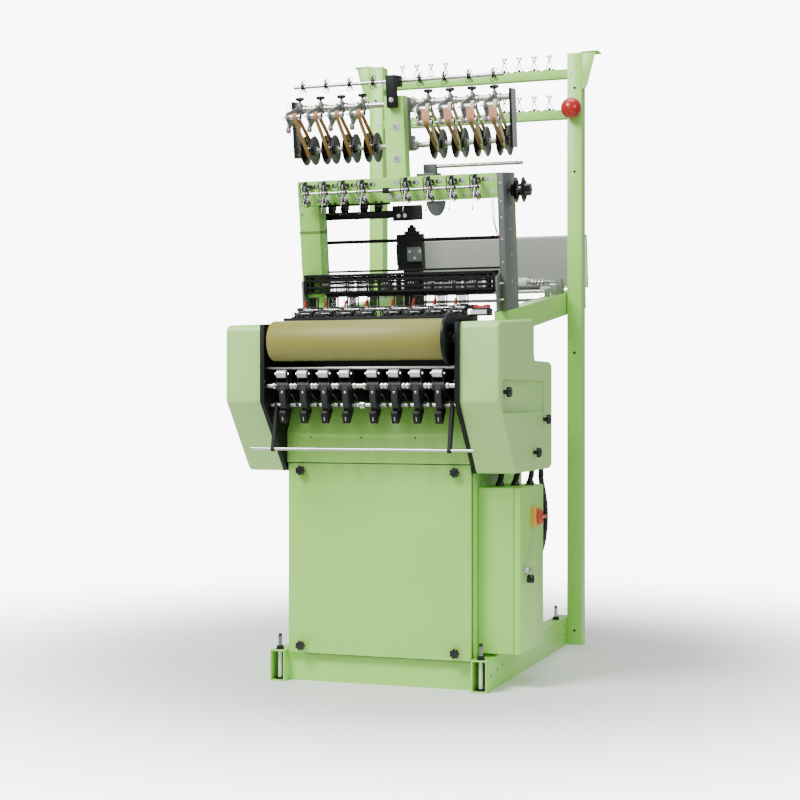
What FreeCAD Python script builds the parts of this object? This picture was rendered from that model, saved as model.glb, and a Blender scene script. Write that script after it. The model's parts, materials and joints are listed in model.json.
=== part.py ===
"""Eight-head narrow-fabric needle loom with an elastic feeder and a yarn rack.

Frame: millimetres, +Z up, +X to the operator's right, -Y to the operator.
The origin is on the floor, under the middle of the machine.
"""
import FreeCAD, Part
import Sketcher
import math
import os

doc = FreeCAD.newDocument("NarrowFabricLoom")
sheet = doc.addObject("Spreadsheet::Sheet", "Dims")
sheet_row = [0]
FINISHED = []


def section(title):
    """A heading row in the sheet."""
    sheet_row[0] += 1
    sheet.set(f"A{sheet_row[0]}", title)


def size(**values):
    """Each named value gets a row of its own: its name, its number and the alias."""
    for name, value in values.items():
        sheet_row[0] += 1
        sheet.set(f"A{sheet_row[0]}", name)
        sheet.set(f"B{sheet_row[0]}", str(value))
        sheet.setAlias(f"B{sheet_row[0]}", name)


# ---------------------------------------------------------------- driving dimensions
section("Base, rear posts and yarn rack")
size(half_width=363, rail_front=-600, rail_length=1133, rail_width=50, rail_height=100, tube_wall=4)
size(cross_beam_height=90, cross_beam_depth=50, front_beam_setback=40, rear_beam_setback=180)
size(floor_plate=6, foot_inset=25, rear_foot_inset=133)
size(foot_radius=16, foot_thickness=6, stud_radius=6, stud_top=150, nut_radius=12, nut_height=10)
size(thread_clearance=0.05, hole_clearance=0.5, joint_gap=0.3)
size(post_width=55, post_depth=60, post_wall=3, post_top=2190)
size(rack_tube=33, rack_top_drop=57, rack_lower_drop=207, rack_setback=6, rack_wall=2)
size(guide_pitch=58, guide_first=116, guide_plate_length=46, guide_plate_width=20, guide_plate_thick=3)
size(guide_wire=1.2, guide_rise=52, guide_spread=16, guide_eye=6)
size(bracket_reach=66, bracket_thick=4, bracket_depth=62, bracket_drop=138)
size(lamp_radius=38, lamp_drop=210, lamp_base_radius=30, lamp_base_length=12, lamp_inset=23)

section("Cabinet and bed")
size(cabinet_gap=2, inner_half="=half_width - rail_width - cabinet_gap", sheet_wall=3)
size(cabinet_front=-562, cabinet_depth=580, cabinet_top=798)
size(panel_thick=18, panel_foot=92, panel_top=702, panel_side_gap=4, apron_gap=3)
size(knob_radius=16.5, knob_height=15, knob_stem_radius=7, knob_stem=11, knob_inset_x=52, knob_inset_z=24)
size(apron_bend=800, apron_top=896, apron_lean=52, apron_skin=3, screw_hole=3)
size(bed_front=-470, bed_depth=470, bed_base=798, bed_top=1150)

section("Side frames and covers")
size(side_frame_thick=14, side_frame_lip=10)
size(cover_front=-755, cover_nose=900, cover_front_top=1140, cover_rear_top=1165, cover_step_y=-335)
size(cover_step_z=1033, cover_rear=-100, cover_foot=677, cover_foot_y=-577)
size(cover_width=123, cover_wall=3, cover_corner=25, cover_edge=10)
size(recess_front=-715, recess_rear=-215, recess_low=865, recess_high=967, recess_deep=8)
size(cover_knob_front_y=-682, cover_knob_front_z=929, cover_knob_rear_y=-222, cover_knob_rear_z=842)
size(cover_knob_low_y=-350, cover_knob_low_z=737)

section("Take-up, press rollers and tape rod")
size(drum_radius=63, drum_y=-735, drum_z=1089, drum_gap=20, drum_shaft=12, shaft_clearance=0.05)
size(disc_radius=80, disc_thick=10, shaft_overrun=22)
size(cloth_bar_y=-748, cloth_bar_z=1004, cloth_bar_radius=4)
size(press_shaft_y=-740, press_shaft_z=949, press_shaft_radius=8)
size(lower_shaft_y=-715, lower_shaft_z=890, lower_shaft_radius=6)
size(head_first=45, head_pitch=70)
size(hub_radius=15, hub_length=42, arm_width=22, arm_thick=14, arm_toe=832)
size(press_roller_y=-754, press_roller_z=986, press_roller_radius=12.5, press_roller_length=32)
size(press_pin=3, fork_ear=4, lever_length=42, lever_ball=7, lever_radius=4, lever_hub=12)
size(lever_hub_length=16)
size(tape_rod_y=-745, tape_rod_z=753, tape_rod_radius=5, tape_rod_overrun=12, tape_arm=16)

section("Weaving heads")
size(head_rail_front=-612, head_rail_depth=84, head_rail_base=1150, head_rail_height=18)
size(post_block=24, post_block_height=20, needle_pin=4, needle_reach=58, needle_wire=2.5, needle_lift=9)
size(needle_hub_radius=8, needle_hub_height=7, needle_hub_y=-578, needle_offset=-24)
size(sley_y=-500, sley_z=1206, sley_bar=14, reed_width=40, reed_rise=34, reed_thick=8, reed_frame=3)
size(lever_bar_y=-538, lever_bar_z=1196, red_lever_rise=34, red_lever_radius=3, red_lever_offset=-15)
size(switch_y=-585, switch_width=54, switch_depth=44, switch_height=22, switch_inset=55)
size(sley_drop=80, sley_pin=5, sley_inset=6, sley_pin_reach=14, latch_inset=30)
size(switch_lift=3, switch_foot=14, switch_foot_thick=4)
size(rocker_sunk=6, rocker_travel=4)
size(rocker_width=46, rocker_depth=32, rocker_height=12)

section("Leaning upper frame, measured from its pivot")
size(lean_angle=7.5, pivot_y=-330, pivot_z=1195)
size(arm_drop=80, arm_overrun=4, arm_length="=rail_length + arm_overrun", arm_outer_inset=3, arm_seat=0)
size(support_width="=rail_width + cabinet_gap - arm_outer_inset", column_foot=-28)
size(column_inset=12, column_width=72, column_depth=62, column_front=-13)
size(beam_low=363, beam_high=444, beam_depth=40, beam_front=-15)
size(upright_inset=3, upright_thick=20, upright_front=-13, upright_depth=145)
size(inner_post_inset=38, inner_post_thick=18, inner_post_depth=79)
size(centre_half=33, centre_depth=44, centre_top=706, centre_front=-13)
size(cross_bar_y=131, cross_bar_low=234, cross_bar_high=323, cross_bar_radius=6)
size(harness_plate=8, harness_plate_inset=23, harness_front=-50, harness_rear=131, harness_low=0)
size(harness_high=135, harness_drive_half=33, harness_drive_depth=40)
size(harness_drive_high=254)
size(stem_drop=60)
size(heald_low=70, heald_high=128, heald_slat=5, heald_slat_depth=3)
size(heald_front_y=-46, heald_rear_y=-30, heald_step=10, heald_stile=10)

section("Rod, feeder and tension units on the leaning frame")
size(rod_y=28, rod_z=756, rod_radius=6, rod_half=363, rod_bracket_half=17, rod_bracket_low=667)
size(rod_bracket_high=772, rod_bracket_thick=22, coil_first=81, coil_pitch=83, coil_radius=14, coil_wire=1.5)
size(feeder_y=78, feeder_shaft_z=686, feeder_drive_z=547, feeder_shaft_radius=10, feeder_drive_radius=9)
size(feeder_left=385, bearing_margin=18, feeder_right=372, feeder_plate_thick=8, feeder_plate_depth=60)
size(feeder_plate_margin=26)
size(groove_left_last=110, groove_right_first=120, groove_pitch=75, pulley_radius=50, pulley_groove=30)
size(pulley_hub=24, pulley_flange=3, belt_side=1, belt_width=13, belt_thick=2)
size(idler_y=-40, idler_high_z=656, idler_low_z=613, idler_radius=11, idler_length=38, idler_pin=3)
size(clamp_width=14, clamp_radius=18, clamp_knob=13, clamp_knob_height=14, clamp_stem=4, clamp_stem_height=10)
size(tension_y=-58, tension_z=402, tension_shaft_radius=5, tension_left_last=105, tension_right_first=45)
size(tension_left_pitch=67, tension_right_pitch=78, tension_block=20, tension_block_depth=14)
size(tension_block_height=64, feeler_drop=70, feeler_wire=1.6)
size(spool_offset=35, spool_x="=half_width + spool_offset", spool_y=50, spool_z=386, spool_radius=42)
size(spool_hub=20, spool_half=16, spool_flange=4)

section("Rear rollers and plate on the support arms")
size(warp_roller_y=800, warp_roller_z=42, warp_roller_radius=20, warp_pin=6, warp_gap=30)
size(low_roller_y=730, low_roller_z=22, low_roller_radius=14, stay_y=860, stay_z=14, stay_radius=6)
size(rear_lip_x=12, rear_plate_setback=19, rear_plate_y="=arm_length - rear_plate_setback")
size(rear_plate_low=0.3, rear_plate_high=205, rear_plate_thick=3, rear_plate_lip=18)

section("Electric box")
size(case_front=-520, case_depth=290, case_low=112, case_high=630, case_deep=118, case_wall=2)
size(door_deep=20, door_gap=0.5, door_pin=4, switch_plate=62, switch_plate_thick=16, switch_z=532)
size(handle_radius=26, handle_height=22, handle_bar=10, lock_y=-480, lock_z=373, lock_radius=11)
size(lock_stand=16, hasp_radius=2.5, hasp_length=34, shackle_drop=20)
size(padlock_width=24, padlock_height=26, padlock_thick=9, shackle_radius=8, shackle_wire=2.2)
size(cable_radius=9)
doc.recompute()


def value(name):
    """The number that a named size holds."""
    return float(sheet.get(name))


def bound(text):
    """An expression on the sheet: each name in it is written as Dims.name."""
    words = []
    word = ""
    for letter in text + " ":
        if letter.isalnum() or letter in "_.":
            word += letter
            continue
        known = word and not word[0].isdigit() and word not in ("sin", "cos", "tan", "sqrt", "atan")
        words.append(f"Dims.{word}" if known else word)
        words.append(letter)
        word = ""
    return "".join(words).strip()


def bind(thing, **formulas):
    """Binds properties of an object to formulas on the sheet."""
    for name, formula in formulas.items():
        thing.setExpression(name, bound(str(formula)))


def move(thing, x="0", y="0", z="0"):
    """Puts an object's own origin at a point of the model."""
    for axis, formula in zip("xyz", (x, y, z)):
        thing.setExpression(f"Placement.Base.{axis}", bound(str(formula)))
    return thing


def name_of(label):
    return "".join(word.capitalize() for word in label.split("_"))


def box(label, x, y, z, length, width, height):
    """A block from its lowest corner."""
    block = doc.addObject("Part::Box", name_of(label))
    bind(block, Length=length, Width=width, Height=height)
    return move(block, x, y, z)


TURNS = {
    "x": FreeCAD.Rotation(FreeCAD.Vector(0, 1, 0), 90),
    "y": FreeCAD.Rotation(FreeCAD.Vector(1, 0, 0), -90),
    "z": FreeCAD.Rotation(),
}


def rod(label, axis, radius, length, x, y, z):
    """A round bar from its start point along +X, +Y or +Z."""
    bar = doc.addObject("Part::Cylinder", name_of(label))
    bind(bar, Radius=radius, Height=length)
    bar.Placement.Rotation = TURNS[axis]
    return move(bar, x, y, z)


def ring(label, axis, radius, wire, x, y, z):
    """A torus of wire round a point."""
    loop = doc.addObject("Part::Torus", name_of(label))
    bind(loop, Radius1=radius, Radius2=wire)
    loop.Placement.Rotation = TURNS[axis]
    return move(loop, x, y, z)


def cone(label, axis, low, high, length, x, y, z):
    """A cone frustum from its start point along an axis."""
    dish = doc.addObject("Part::Cone", name_of(label))
    bind(dish, Radius1=low, Radius2=high, Height=length)
    dish.Placement.Rotation = TURNS[axis]
    return move(dish, x, y, z)


def profile(label, start, length, points):
    """A plate drawn on the YZ plane and padded along +X from start; points are formula pairs."""
    body = doc.addObject("PartDesign::Body", name_of(label))
    sketch = body.newObject("Sketcher::SketchObject", name_of(label) + "Outline")
    plane = [f for f in body.Origin.OriginFeatures if f.Role == "YZ_Plane"][0]
    sketch.AttachmentSupport = [(plane, "")]
    sketch.MapMode = "FlatFace"
    count = len(points)
    places = [FreeCAD.Vector(10 * index, 10 * index * index, 0) for index in range(count)]
    for index in range(count):
        sketch.addGeometry(Part.LineSegment(places[index], places[(index + 1) % count]), False)
    for index in range(count):
        sketch.addConstraint(Sketcher.Constraint("Coincident", index, 2, (index + 1) % count, 1))
    for index, (y, z) in enumerate(points):
        for kind, formula in (("DistanceX", y), ("DistanceY", z)):
            at = sketch.addConstraint(Sketcher.Constraint(kind, -1, 1, index, 1, 10 * index))
            sketch.setExpression(f"Constraints[{at}]", bound(formula))
    pad = body.newObject("PartDesign::Pad", name_of(label) + "Pad")
    pad.Profile = sketch
    pad.setExpression("Length", bound(length))
    move(body, start)
    return body


def fuse(label, *pieces):
    """One solid made of touching pieces."""
    whole = doc.addObject("Part::MultiFuse", name_of(label))
    whole.Shapes = list(pieces)
    whole.Refine = True
    return whole


def cut(label, base, *tools):
    """A base less one tool, or less several."""
    rest = doc.addObject("Part::Cut", name_of(label))
    rest.Base = base
    rest.Tool = tools[0] if len(tools) == 1 else group(label + "_tools", *tools)
    return rest


def group(label, *pieces):
    """Separate solids that share a node."""
    kit = doc.addObject("Part::Compound", name_of(label))
    kit.Links = list(pieces)
    return kit


def copies(label, master, places):
    """A group of copies of a master, each moved by formulas (x, y, z)."""
    links = []
    for index, (x, y, z) in enumerate(places):
        link = doc.addObject("App::Link", f"{name_of(label)}Copy{index + 1}")
        link.LinkedObject = master
        link.LinkTransform = True
        move(link, x, y, z)
        links.append(link)
    return group(label, *links)


def lean(thing):
    """Stands a finished sub-part on the pivot of the leaning frame."""
    thing.Placement.Rotation = FreeCAD.Rotation(FreeCAD.Vector(1, 0, 0), value("lean_angle"))
    return move(thing, "0", "pivot_y", "pivot_z")


def finish(label, thing):
    """Names a sub-part, which also names its file."""
    thing.Label = label
    FINISHED.append(thing)
    return thing


def tube(label, axis, wall, x, y, z, length, width, height):
    """A rectangular hollow section, open at the two ends that face along the axis."""
    outer = box(label + "_outside", x, y, z, length, width, height)
    spans = {"x": (x, length), "y": (y, width), "z": (z, height)}
    hollow = []
    for each, (start, span) in spans.items():
        if each == axis:
            hollow.append((f"({start}) - 1", f"({span}) + 2"))
        else:
            hollow.append((f"({start}) + {wall}", f"({span}) - 2 * {wall}"))
    (x0, dx), (y0, dy), (z0, dz) = hollow
    return cut(label, outer, box(label + "_inside", x0, y0, z0, dx, dy, dz))


def mirrored(label, source):
    """The other hand of a piece, across the middle plane of the machine."""
    twin = doc.addObject("Part::Mirroring", name_of(label))
    twin.Source = source
    twin.Base = FreeCAD.Vector(0, 0, 0)
    twin.Normal = FreeCAD.Vector(1, 0, 0)
    return twin


def head_places(shift="0"):
    """The eight heads, four each side of the middle."""
    left = [f"-head_first - {index} * head_pitch + ({shift})" for index in (3, 2, 1, 0)]
    right = [f"head_first + {index} * head_pitch + ({shift})" for index in (0, 1, 2, 3)]
    return [(x, "0", "0") for x in left + right]


# ---------------------------------------------------------------- base
def make_base():
    inner = "half_width - rail_width"
    rails = []
    for side, x in (("left", "-half_width"), ("right", inner)):
        rail = tube(f"rail_{side}", "y", "tube_wall", x, "rail_front", "0",
                    "rail_width", "rail_length", "rail_height")
        middle = f"({x}) + rail_width / 2"
        holes = []
        for place, y in (("front", "rail_front + foot_inset"),
                         ("rear", "rail_front + rail_length - rear_foot_inset")):
            holes.append(rod(f"stud_hole_{side}_{place}", "z", "stud_radius + hole_clearance", "rail_height",
                             middle, y, "rail_height / 2"))
        rails.append(cut(f"rail_drilled_{side}", rail, *holes))
    beams = []
    for place, y in (("front", "rail_front + front_beam_setback"),
                     ("rear", "rail_front + rail_length - rear_beam_setback")):
        beams.append(tube(f"cross_beam_{place}", "x", "tube_wall", f"-({inner})", y, "0",
                          f"2 * ({inner})", "cross_beam_depth", "cross_beam_height"))
    finish("base_frame", fuse("base_frame", *rails, *beams))

    feet = []
    for side, x in (("left", "-half_width + rail_width / 2"), ("right", "half_width - rail_width / 2")):
        for place, y in (("front", "rail_front + foot_inset"),
                         ("rear", "rail_front + rail_length - rear_foot_inset")):
            tag = f"{side}_{place}"
            disc = rod(f"foot_disc_{tag}", "z", "foot_radius", "foot_thickness", x, y, "tube_wall")
            stud = rod(f"foot_stud_{tag}", "z", "stud_radius", "stud_top - tube_wall", x, y, "tube_wall")
            feet.append(fuse(f"foot_{tag}", disc, stud))
            nut = doc.addObject("Part::Prism", name_of(f"nut_{tag}"))
            bind(nut, Circumradius="nut_radius", Height="nut_height")
            move(nut, x, y, "rail_height")
            bore = rod(f"nut_bore_{tag}", "z", "stud_radius + thread_clearance", "nut_height + 2", x, y,
                       "rail_height - 1")
            feet.append(cut(f"foot_nut_{tag}", nut, bore))
    finish("levelling_feet", group("levelling_feet", *feet))


# ---------------------------------------------------------------- rear posts and rack
def make_rack():
    post_front = "rail_front + rail_length - post_depth"
    posts = []
    for side, x in (("left", "-half_width - post_width"), ("right", "half_width")):
        posts.append(tube(f"post_{side}", "z", "post_wall", x, post_front, "0",
                          "post_width", "post_depth", "post_top"))
    finish("rear_posts", group("rear_posts", *posts))

    beam_y = f"{post_front} + rack_setback"
    beams = []
    for place, drop in (("upper", "rack_top_drop"), ("lower", "rack_lower_drop")):
        beams.append(tube(f"rack_{place}", "x", "rack_wall", "-half_width", beam_y, f"post_top - {drop} - rack_tube",
                          "2 * half_width", "rack_tube", "rack_tube"))
    finish("rack_beams", group("rack_beams", *beams))

    guides = []
    for place, drop in (("upper", "rack_top_drop"), ("lower", "rack_lower_drop")):
        plate = box(f"guide_plate_{place}", "-guide_plate_length / 2", f"{beam_y} + rack_tube / 2 - guide_plate_width / 2",
                    f"post_top - {drop}", "guide_plate_length", "guide_plate_width", "guide_plate_thick")
        knob = rod(f"guide_knob_{place}", "z", "guide_plate_width / 4", "guide_plate_thick * 4",
                   "guide_plate_length / 3", f"{beam_y} + rack_tube / 2", f"post_top - {drop}")
        wires = []
        for side in (-1, 1):
            leg = rod(f"guide_leg_{place}_{side + 1}", "z", "guide_wire",
                      "sqrt(guide_rise * guide_rise + guide_spread * guide_spread)",
                      f"{side} * guide_spread", f"{beam_y} + rack_tube / 2", f"post_top - {drop} + guide_plate_thick / 2")
            leg.Placement.Rotation = FreeCAD.Rotation(FreeCAD.Vector(0, 1, 0), -side * 17)
            wires.append(leg)
        eye = ring(f"guide_eye_{place}", "y", "guide_eye", "guide_wire", "0", f"{beam_y} + rack_tube / 2",
                   f"post_top - {drop} + guide_rise + guide_eye")
        master = fuse(f"guide_{place}", plate, knob, *wires, eye)
        spots = [f"{side} * (guide_first + {index} * guide_pitch)" for side in (-1, 1) for index in range(4)]
        guides.append(copies(f"guides_{place}", master, [(x, "0", "0") for x in spots]))
    finish("yarn_guides", group("yarn_guides", *guides))

    flange = box("bracket_flange", "half_width + post_width - bracket_thick", post_front,
                 "post_top", "bracket_reach", "bracket_depth - 2", "bracket_thick")
    gusset = profile("bracket_gusset", "half_width + post_width", "bracket_thick", [
        (post_front, "post_top"), (f"{post_front} + bracket_depth - 2", "post_top"),
        (f"{post_front} + bracket_depth * 0.66", "post_top - bracket_drop"),
        (f"{post_front} + bracket_depth * 0.4", "post_top - bracket_drop")])
    right = fuse("bracket_right", flange, gusset)
    finish("creel_brackets", group("creel_brackets", right, mirrored("bracket_left", right)))

    lamp_x = "half_width + lamp_inset"
    lamp_z = "post_top - lamp_drop"
    base = rod("lamp_base", "y", "lamp_base_radius", "lamp_base_length", lamp_x,
               f"{post_front} - lamp_base_length", lamp_z)
    dome = doc.addObject("Part::Sphere", "LampDome")
    bind(dome, Radius="lamp_radius")
    move(dome, lamp_x, f"{post_front} - lamp_base_length - lamp_radius * 0.62", lamp_z)
    slab = box("lamp_slab", f"{lamp_x} - lamp_radius", f"{post_front} - lamp_base_length",
               f"{lamp_z} - lamp_radius", "2 * lamp_radius", "lamp_radius", "2 * lamp_radius")
    finish("signal_lamp", group("signal_lamp", base, cut("lamp_lens", dome, slab)))


# ---------------------------------------------------------------- cabinet
def make_cabinet():
    half = "inner_half"
    low = "cross_beam_height + joint_gap"
    shell = box("cabinet_block", f"-({half})", "cabinet_front", low, f"2 * ({half})", "cabinet_depth",
                f"cabinet_top - ({low})")
    room = box("cabinet_room", f"-({half}) + sheet_wall", "cabinet_front - 1", f"{low} + floor_plate",
               f"2 * ({half}) - 2 * sheet_wall", "cabinet_depth - sheet_wall + 1",
               f"cabinet_top - ({low}) - floor_plate - sheet_wall")
    finish("cabinet_shell", cut("cabinet_shell", shell, room))

    panel_half = f"({half}) - panel_side_gap"
    slab = box("panel_block", f"-({panel_half})", "cabinet_front - panel_thick - joint_gap", "panel_foot",
               f"2 * ({panel_half})", "panel_thick", "panel_top - panel_foot")
    hollow = box("panel_hollow", f"-({panel_half}) + sheet_wall", "cabinet_front - panel_thick - joint_gap + sheet_wall",
                 "panel_foot + sheet_wall", f"2 * ({panel_half}) - 2 * sheet_wall", "panel_thick",
                 "panel_top - panel_foot - 2 * sheet_wall")
    finish("front_panel", cut("front_panel", slab, hollow))

    apron_y = "cabinet_front - panel_thick"
    rise = "(apron_top - apron_bend)"
    apron = profile("apron", f"-{half}", f"2 * ({half})", [
        (apron_y, "panel_top + apron_gap"), (f"{apron_y} + apron_skin", "panel_top + apron_gap"),
        (f"{apron_y} + apron_skin", "apron_bend"), (f"{apron_y} + apron_skin + apron_lean", "apron_top"),
        ("cabinet_front - joint_gap + apron_lean", "apron_top"),
        ("cabinet_front - joint_gap + apron_lean", "apron_top + apron_skin"),
        (f"{apron_y} + apron_lean", "apron_top + apron_skin"), (apron_y, "apron_bend")])
    holes = [rod(f"apron_hole_{index + 1}", "y", "screw_hole", "panel_thick * 4", f"{x} * ({half})",
                 f"{apron_y} - 20", "apron_bend - 14") for index, x in enumerate((-0.74, -0.18, 0.4))]
    finish("apron_plate", cut("apron_plate", apron, *holes))

    bed = box("bed_block", f"-{half}", "bed_front", "bed_base", f"2 * {half}", "bed_depth",
              "bed_top - bed_base")
    finish("bed_casting", bed)


# ---------------------------------------------------------------- side frames and covers
def cover_outline(grow="0"):
    """The shared outline of side frame and cover; grow pushes the front edge out."""
    return [(f"cover_front - {grow}", "cover_nose"), (f"cover_front - {grow}", "cover_front_top"),
            ("cover_step_y", "cover_rear_top"), ("cover_step_y", "cover_step_z"),
            ("cover_rear", "cover_step_z"), ("cover_rear", "cover_foot"), ("cover_foot_y", "cover_foot")]


def make_sides():
    inner = "inner_half"
    plate = profile("side_plate", inner, "side_frame_thick", cover_outline("side_frame_lip"))
    bores = []
    for name, y, z, radius in (("drum", "drum_y", "drum_z", "drum_shaft"),
                               ("press", "press_shaft_y", "press_shaft_z", "press_shaft_radius"),
                               ("lower", "lower_shaft_y", "lower_shaft_z", "lower_shaft_radius"),
                               ("cloth", "cloth_bar_y", "cloth_bar_z", "cloth_bar_radius"),
                               ("sley", "sley_y", "sley_z - sley_drop", "sley_pin")):
        bores.append(rod(f"side_bore_{name}", "x", f"{radius} + shaft_clearance", "side_frame_thick + 2",
                         f"{inner} - 1", y, z))
    right = cut("side_frame_right", plate, *bores)
    finish("side_frames", group("side_frames", right, mirrored("side_frame_left", right)))

    start = f"{inner} + side_frame_thick"
    outer = profile("cover_block", start, "cover_width", cover_outline())
    doc.recompute()
    pad = outer.Tip
    across = [f"Edge{index + 1}" for index, edge in enumerate(pad.Shape.Edges)
              if abs(edge.tangentAt(edge.FirstParameter).x) > 0.99]
    corners = outer.newObject("PartDesign::Fillet", "CoverCorners")
    corners.Base = (pad, across)
    bind(corners, Radius="cover_corner")
    doc.recompute()
    far = corners.Shape.BoundBox.XMax
    rim = [f"Edge{index + 1}" for index, edge in enumerate(corners.Shape.Edges)
           if edge.BoundBox.XMin > far - 0.01]
    edges = outer.newObject("PartDesign::Fillet", "CoverEdges")
    edges.Base = (corners, rim)
    bind(edges, Radius="cover_edge")
    doc.recompute()
    near = edges.Shape.BoundBox.XMin
    open_face = [f"Face{index + 1}" for index, face in enumerate(edges.Shape.Faces)
                 if face.BoundBox.XMax < near + 0.01]
    shell = outer.newObject("PartDesign::Thickness", "CoverShell")
    shell.Base = (edges, open_face)
    shell.Mode = 0
    shell.Join = 0
    shell.Reversed = 1
    bind(shell, Value="cover_wall")
    doc.recompute()
    face_x = f"{start} + cover_width"
    backing = box("recess_backing", f"{face_x} - recess_deep - cover_wall", "recess_front - cover_wall",
                  "recess_low - cover_wall", "recess_deep + cover_wall - 1", "recess_rear - recess_front + 2 * cover_wall",
                  "recess_high - recess_low + 2 * cover_wall")
    dent = box("recess_dent", f"{face_x} - recess_deep", "recess_front", "recess_low", "recess_deep + 5",
               "recess_rear - recess_front", "recess_high - recess_low")
    holes = [rod(f"cover_hole_{index + 1}", "x", "knob_stem_radius * 0.5 + hole_clearance", "recess_deep + 20",
                 f"{face_x} - recess_deep - 15", y, z) for index, (y, z) in enumerate(COVER_KNOBS)]
    right = cut("cover_right", fuse("cover_pressed", outer, backing), dent, *holes)
    finish("cover_right", right)
    finish("cover_left", mirrored("cover_left", right))


COVER_KNOBS = (("cover_knob_front_y", "cover_knob_front_z"), ("cover_knob_rear_y", "cover_knob_rear_z"),
               ("cover_knob_low_y", "cover_knob_low_z"))


def star_knob(label):
    """A seven-lobed hand knob whose back stands at the origin and whose axis is +Z."""
    core = rod(label + "_core", "z", "knob_radius * 0.72", "knob_height", "0", "0", "knob_stem")
    stem = rod(label + "_stem", "z", "knob_stem_radius", "knob_stem", "0", "0", "0")
    lobes = []
    for index in range(7):
        lobe = rod(f"{label}_lobe_{index + 1}", "z", "knob_radius * 0.3", "knob_height",
                   f"knob_radius * 0.7 * cos({index} * 360 / 7)", f"knob_radius * 0.7 * sin({index} * 360 / 7)",
                   "knob_stem")
        lobes.append(lobe)
    return fuse(label, core, stem, *lobes)


def placed_knob(label, master, rotation, x, y, z):
    link = doc.addObject("App::Link", name_of(label))
    link.LinkedObject = master
    link.LinkTransform = False
    link.Placement.Rotation = rotation
    return move(link, x, y, z)


def make_knobs():
    master = star_knob("star_knob")
    knobs = []
    forward = FreeCAD.Rotation(FreeCAD.Vector(1, 0, 0), 90)
    panel_face = "cabinet_front - panel_thick - joint_gap"
    for side in (-1, 1):
        for place, z in (("low", "panel_foot + knob_inset_z"), ("high", "panel_top - knob_inset_z")):
            knobs.append(placed_knob(f"panel_knob_{side + 1}_{place}", master, forward,
                                     f"{side} * (half_width - rail_width - knob_inset_x)", panel_face, z))
    face_x = "inner_half + side_frame_thick + cover_width"
    for side, turn in ((-1, -90), (1, 90)):
        outward = FreeCAD.Rotation(FreeCAD.Vector(0, 1, 0), turn)
        for index, (y, z) in enumerate(COVER_KNOBS):
            depth = "recess_deep" if index == 0 else "0"
            knobs.append(placed_knob(f"cover_knob_{side + 1}_{index}", master, outward,
                                     f"{side} * ({face_x} - {depth})", y, z))
    finish("star_knobs", group("star_knobs", *knobs))


# ---------------------------------------------------------------- take-up and press rollers
def make_take_up():
    inner = "inner_half"
    drum_half = f"({inner} - drum_gap)"
    drum = rod("drum_body", "x", "drum_radius", f"2 * {drum_half} - disc_thick", f"-{drum_half}", "drum_y", "drum_z")
    bore = rod("drum_bore", "x", "drum_shaft + shaft_clearance", f"2 * {drum_half} + 2", f"-{drum_half} - 1",
               "drum_y", "drum_z")
    finish("take_up_drum", cut("take_up_drum", drum, bore))
    shaft = rod("drum_shaft_bar", "x", "drum_shaft", f"2 * ({inner} + side_frame_thick + shaft_overrun)",
                f"-({inner} + side_frame_thick + shaft_overrun)", "drum_y", "drum_z")
    disc = rod("drum_disc", "x", "disc_radius", "disc_thick", f"{drum_half} - disc_thick + joint_gap",
               "drum_y", "drum_z")
    finish("take_up_shaft", fuse("take_up_shaft", shaft, disc))

    reach = f"({inner} + side_frame_thick)"
    rods = []
    for name, y, z, radius in (("press", "press_shaft_y", "press_shaft_z", "press_shaft_radius"),
                               ("lower", "lower_shaft_y", "lower_shaft_z", "lower_shaft_radius"),
                               ("cloth", "cloth_bar_y", "cloth_bar_z", "cloth_bar_radius")):
        rods.append(rod(f"breast_{name}_bar", "x", radius, f"2 * {reach}", f"-{reach}", y, z))
    finish("breast_shafts", group("breast_shafts", *rods, *tape_rod_pieces()))


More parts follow.
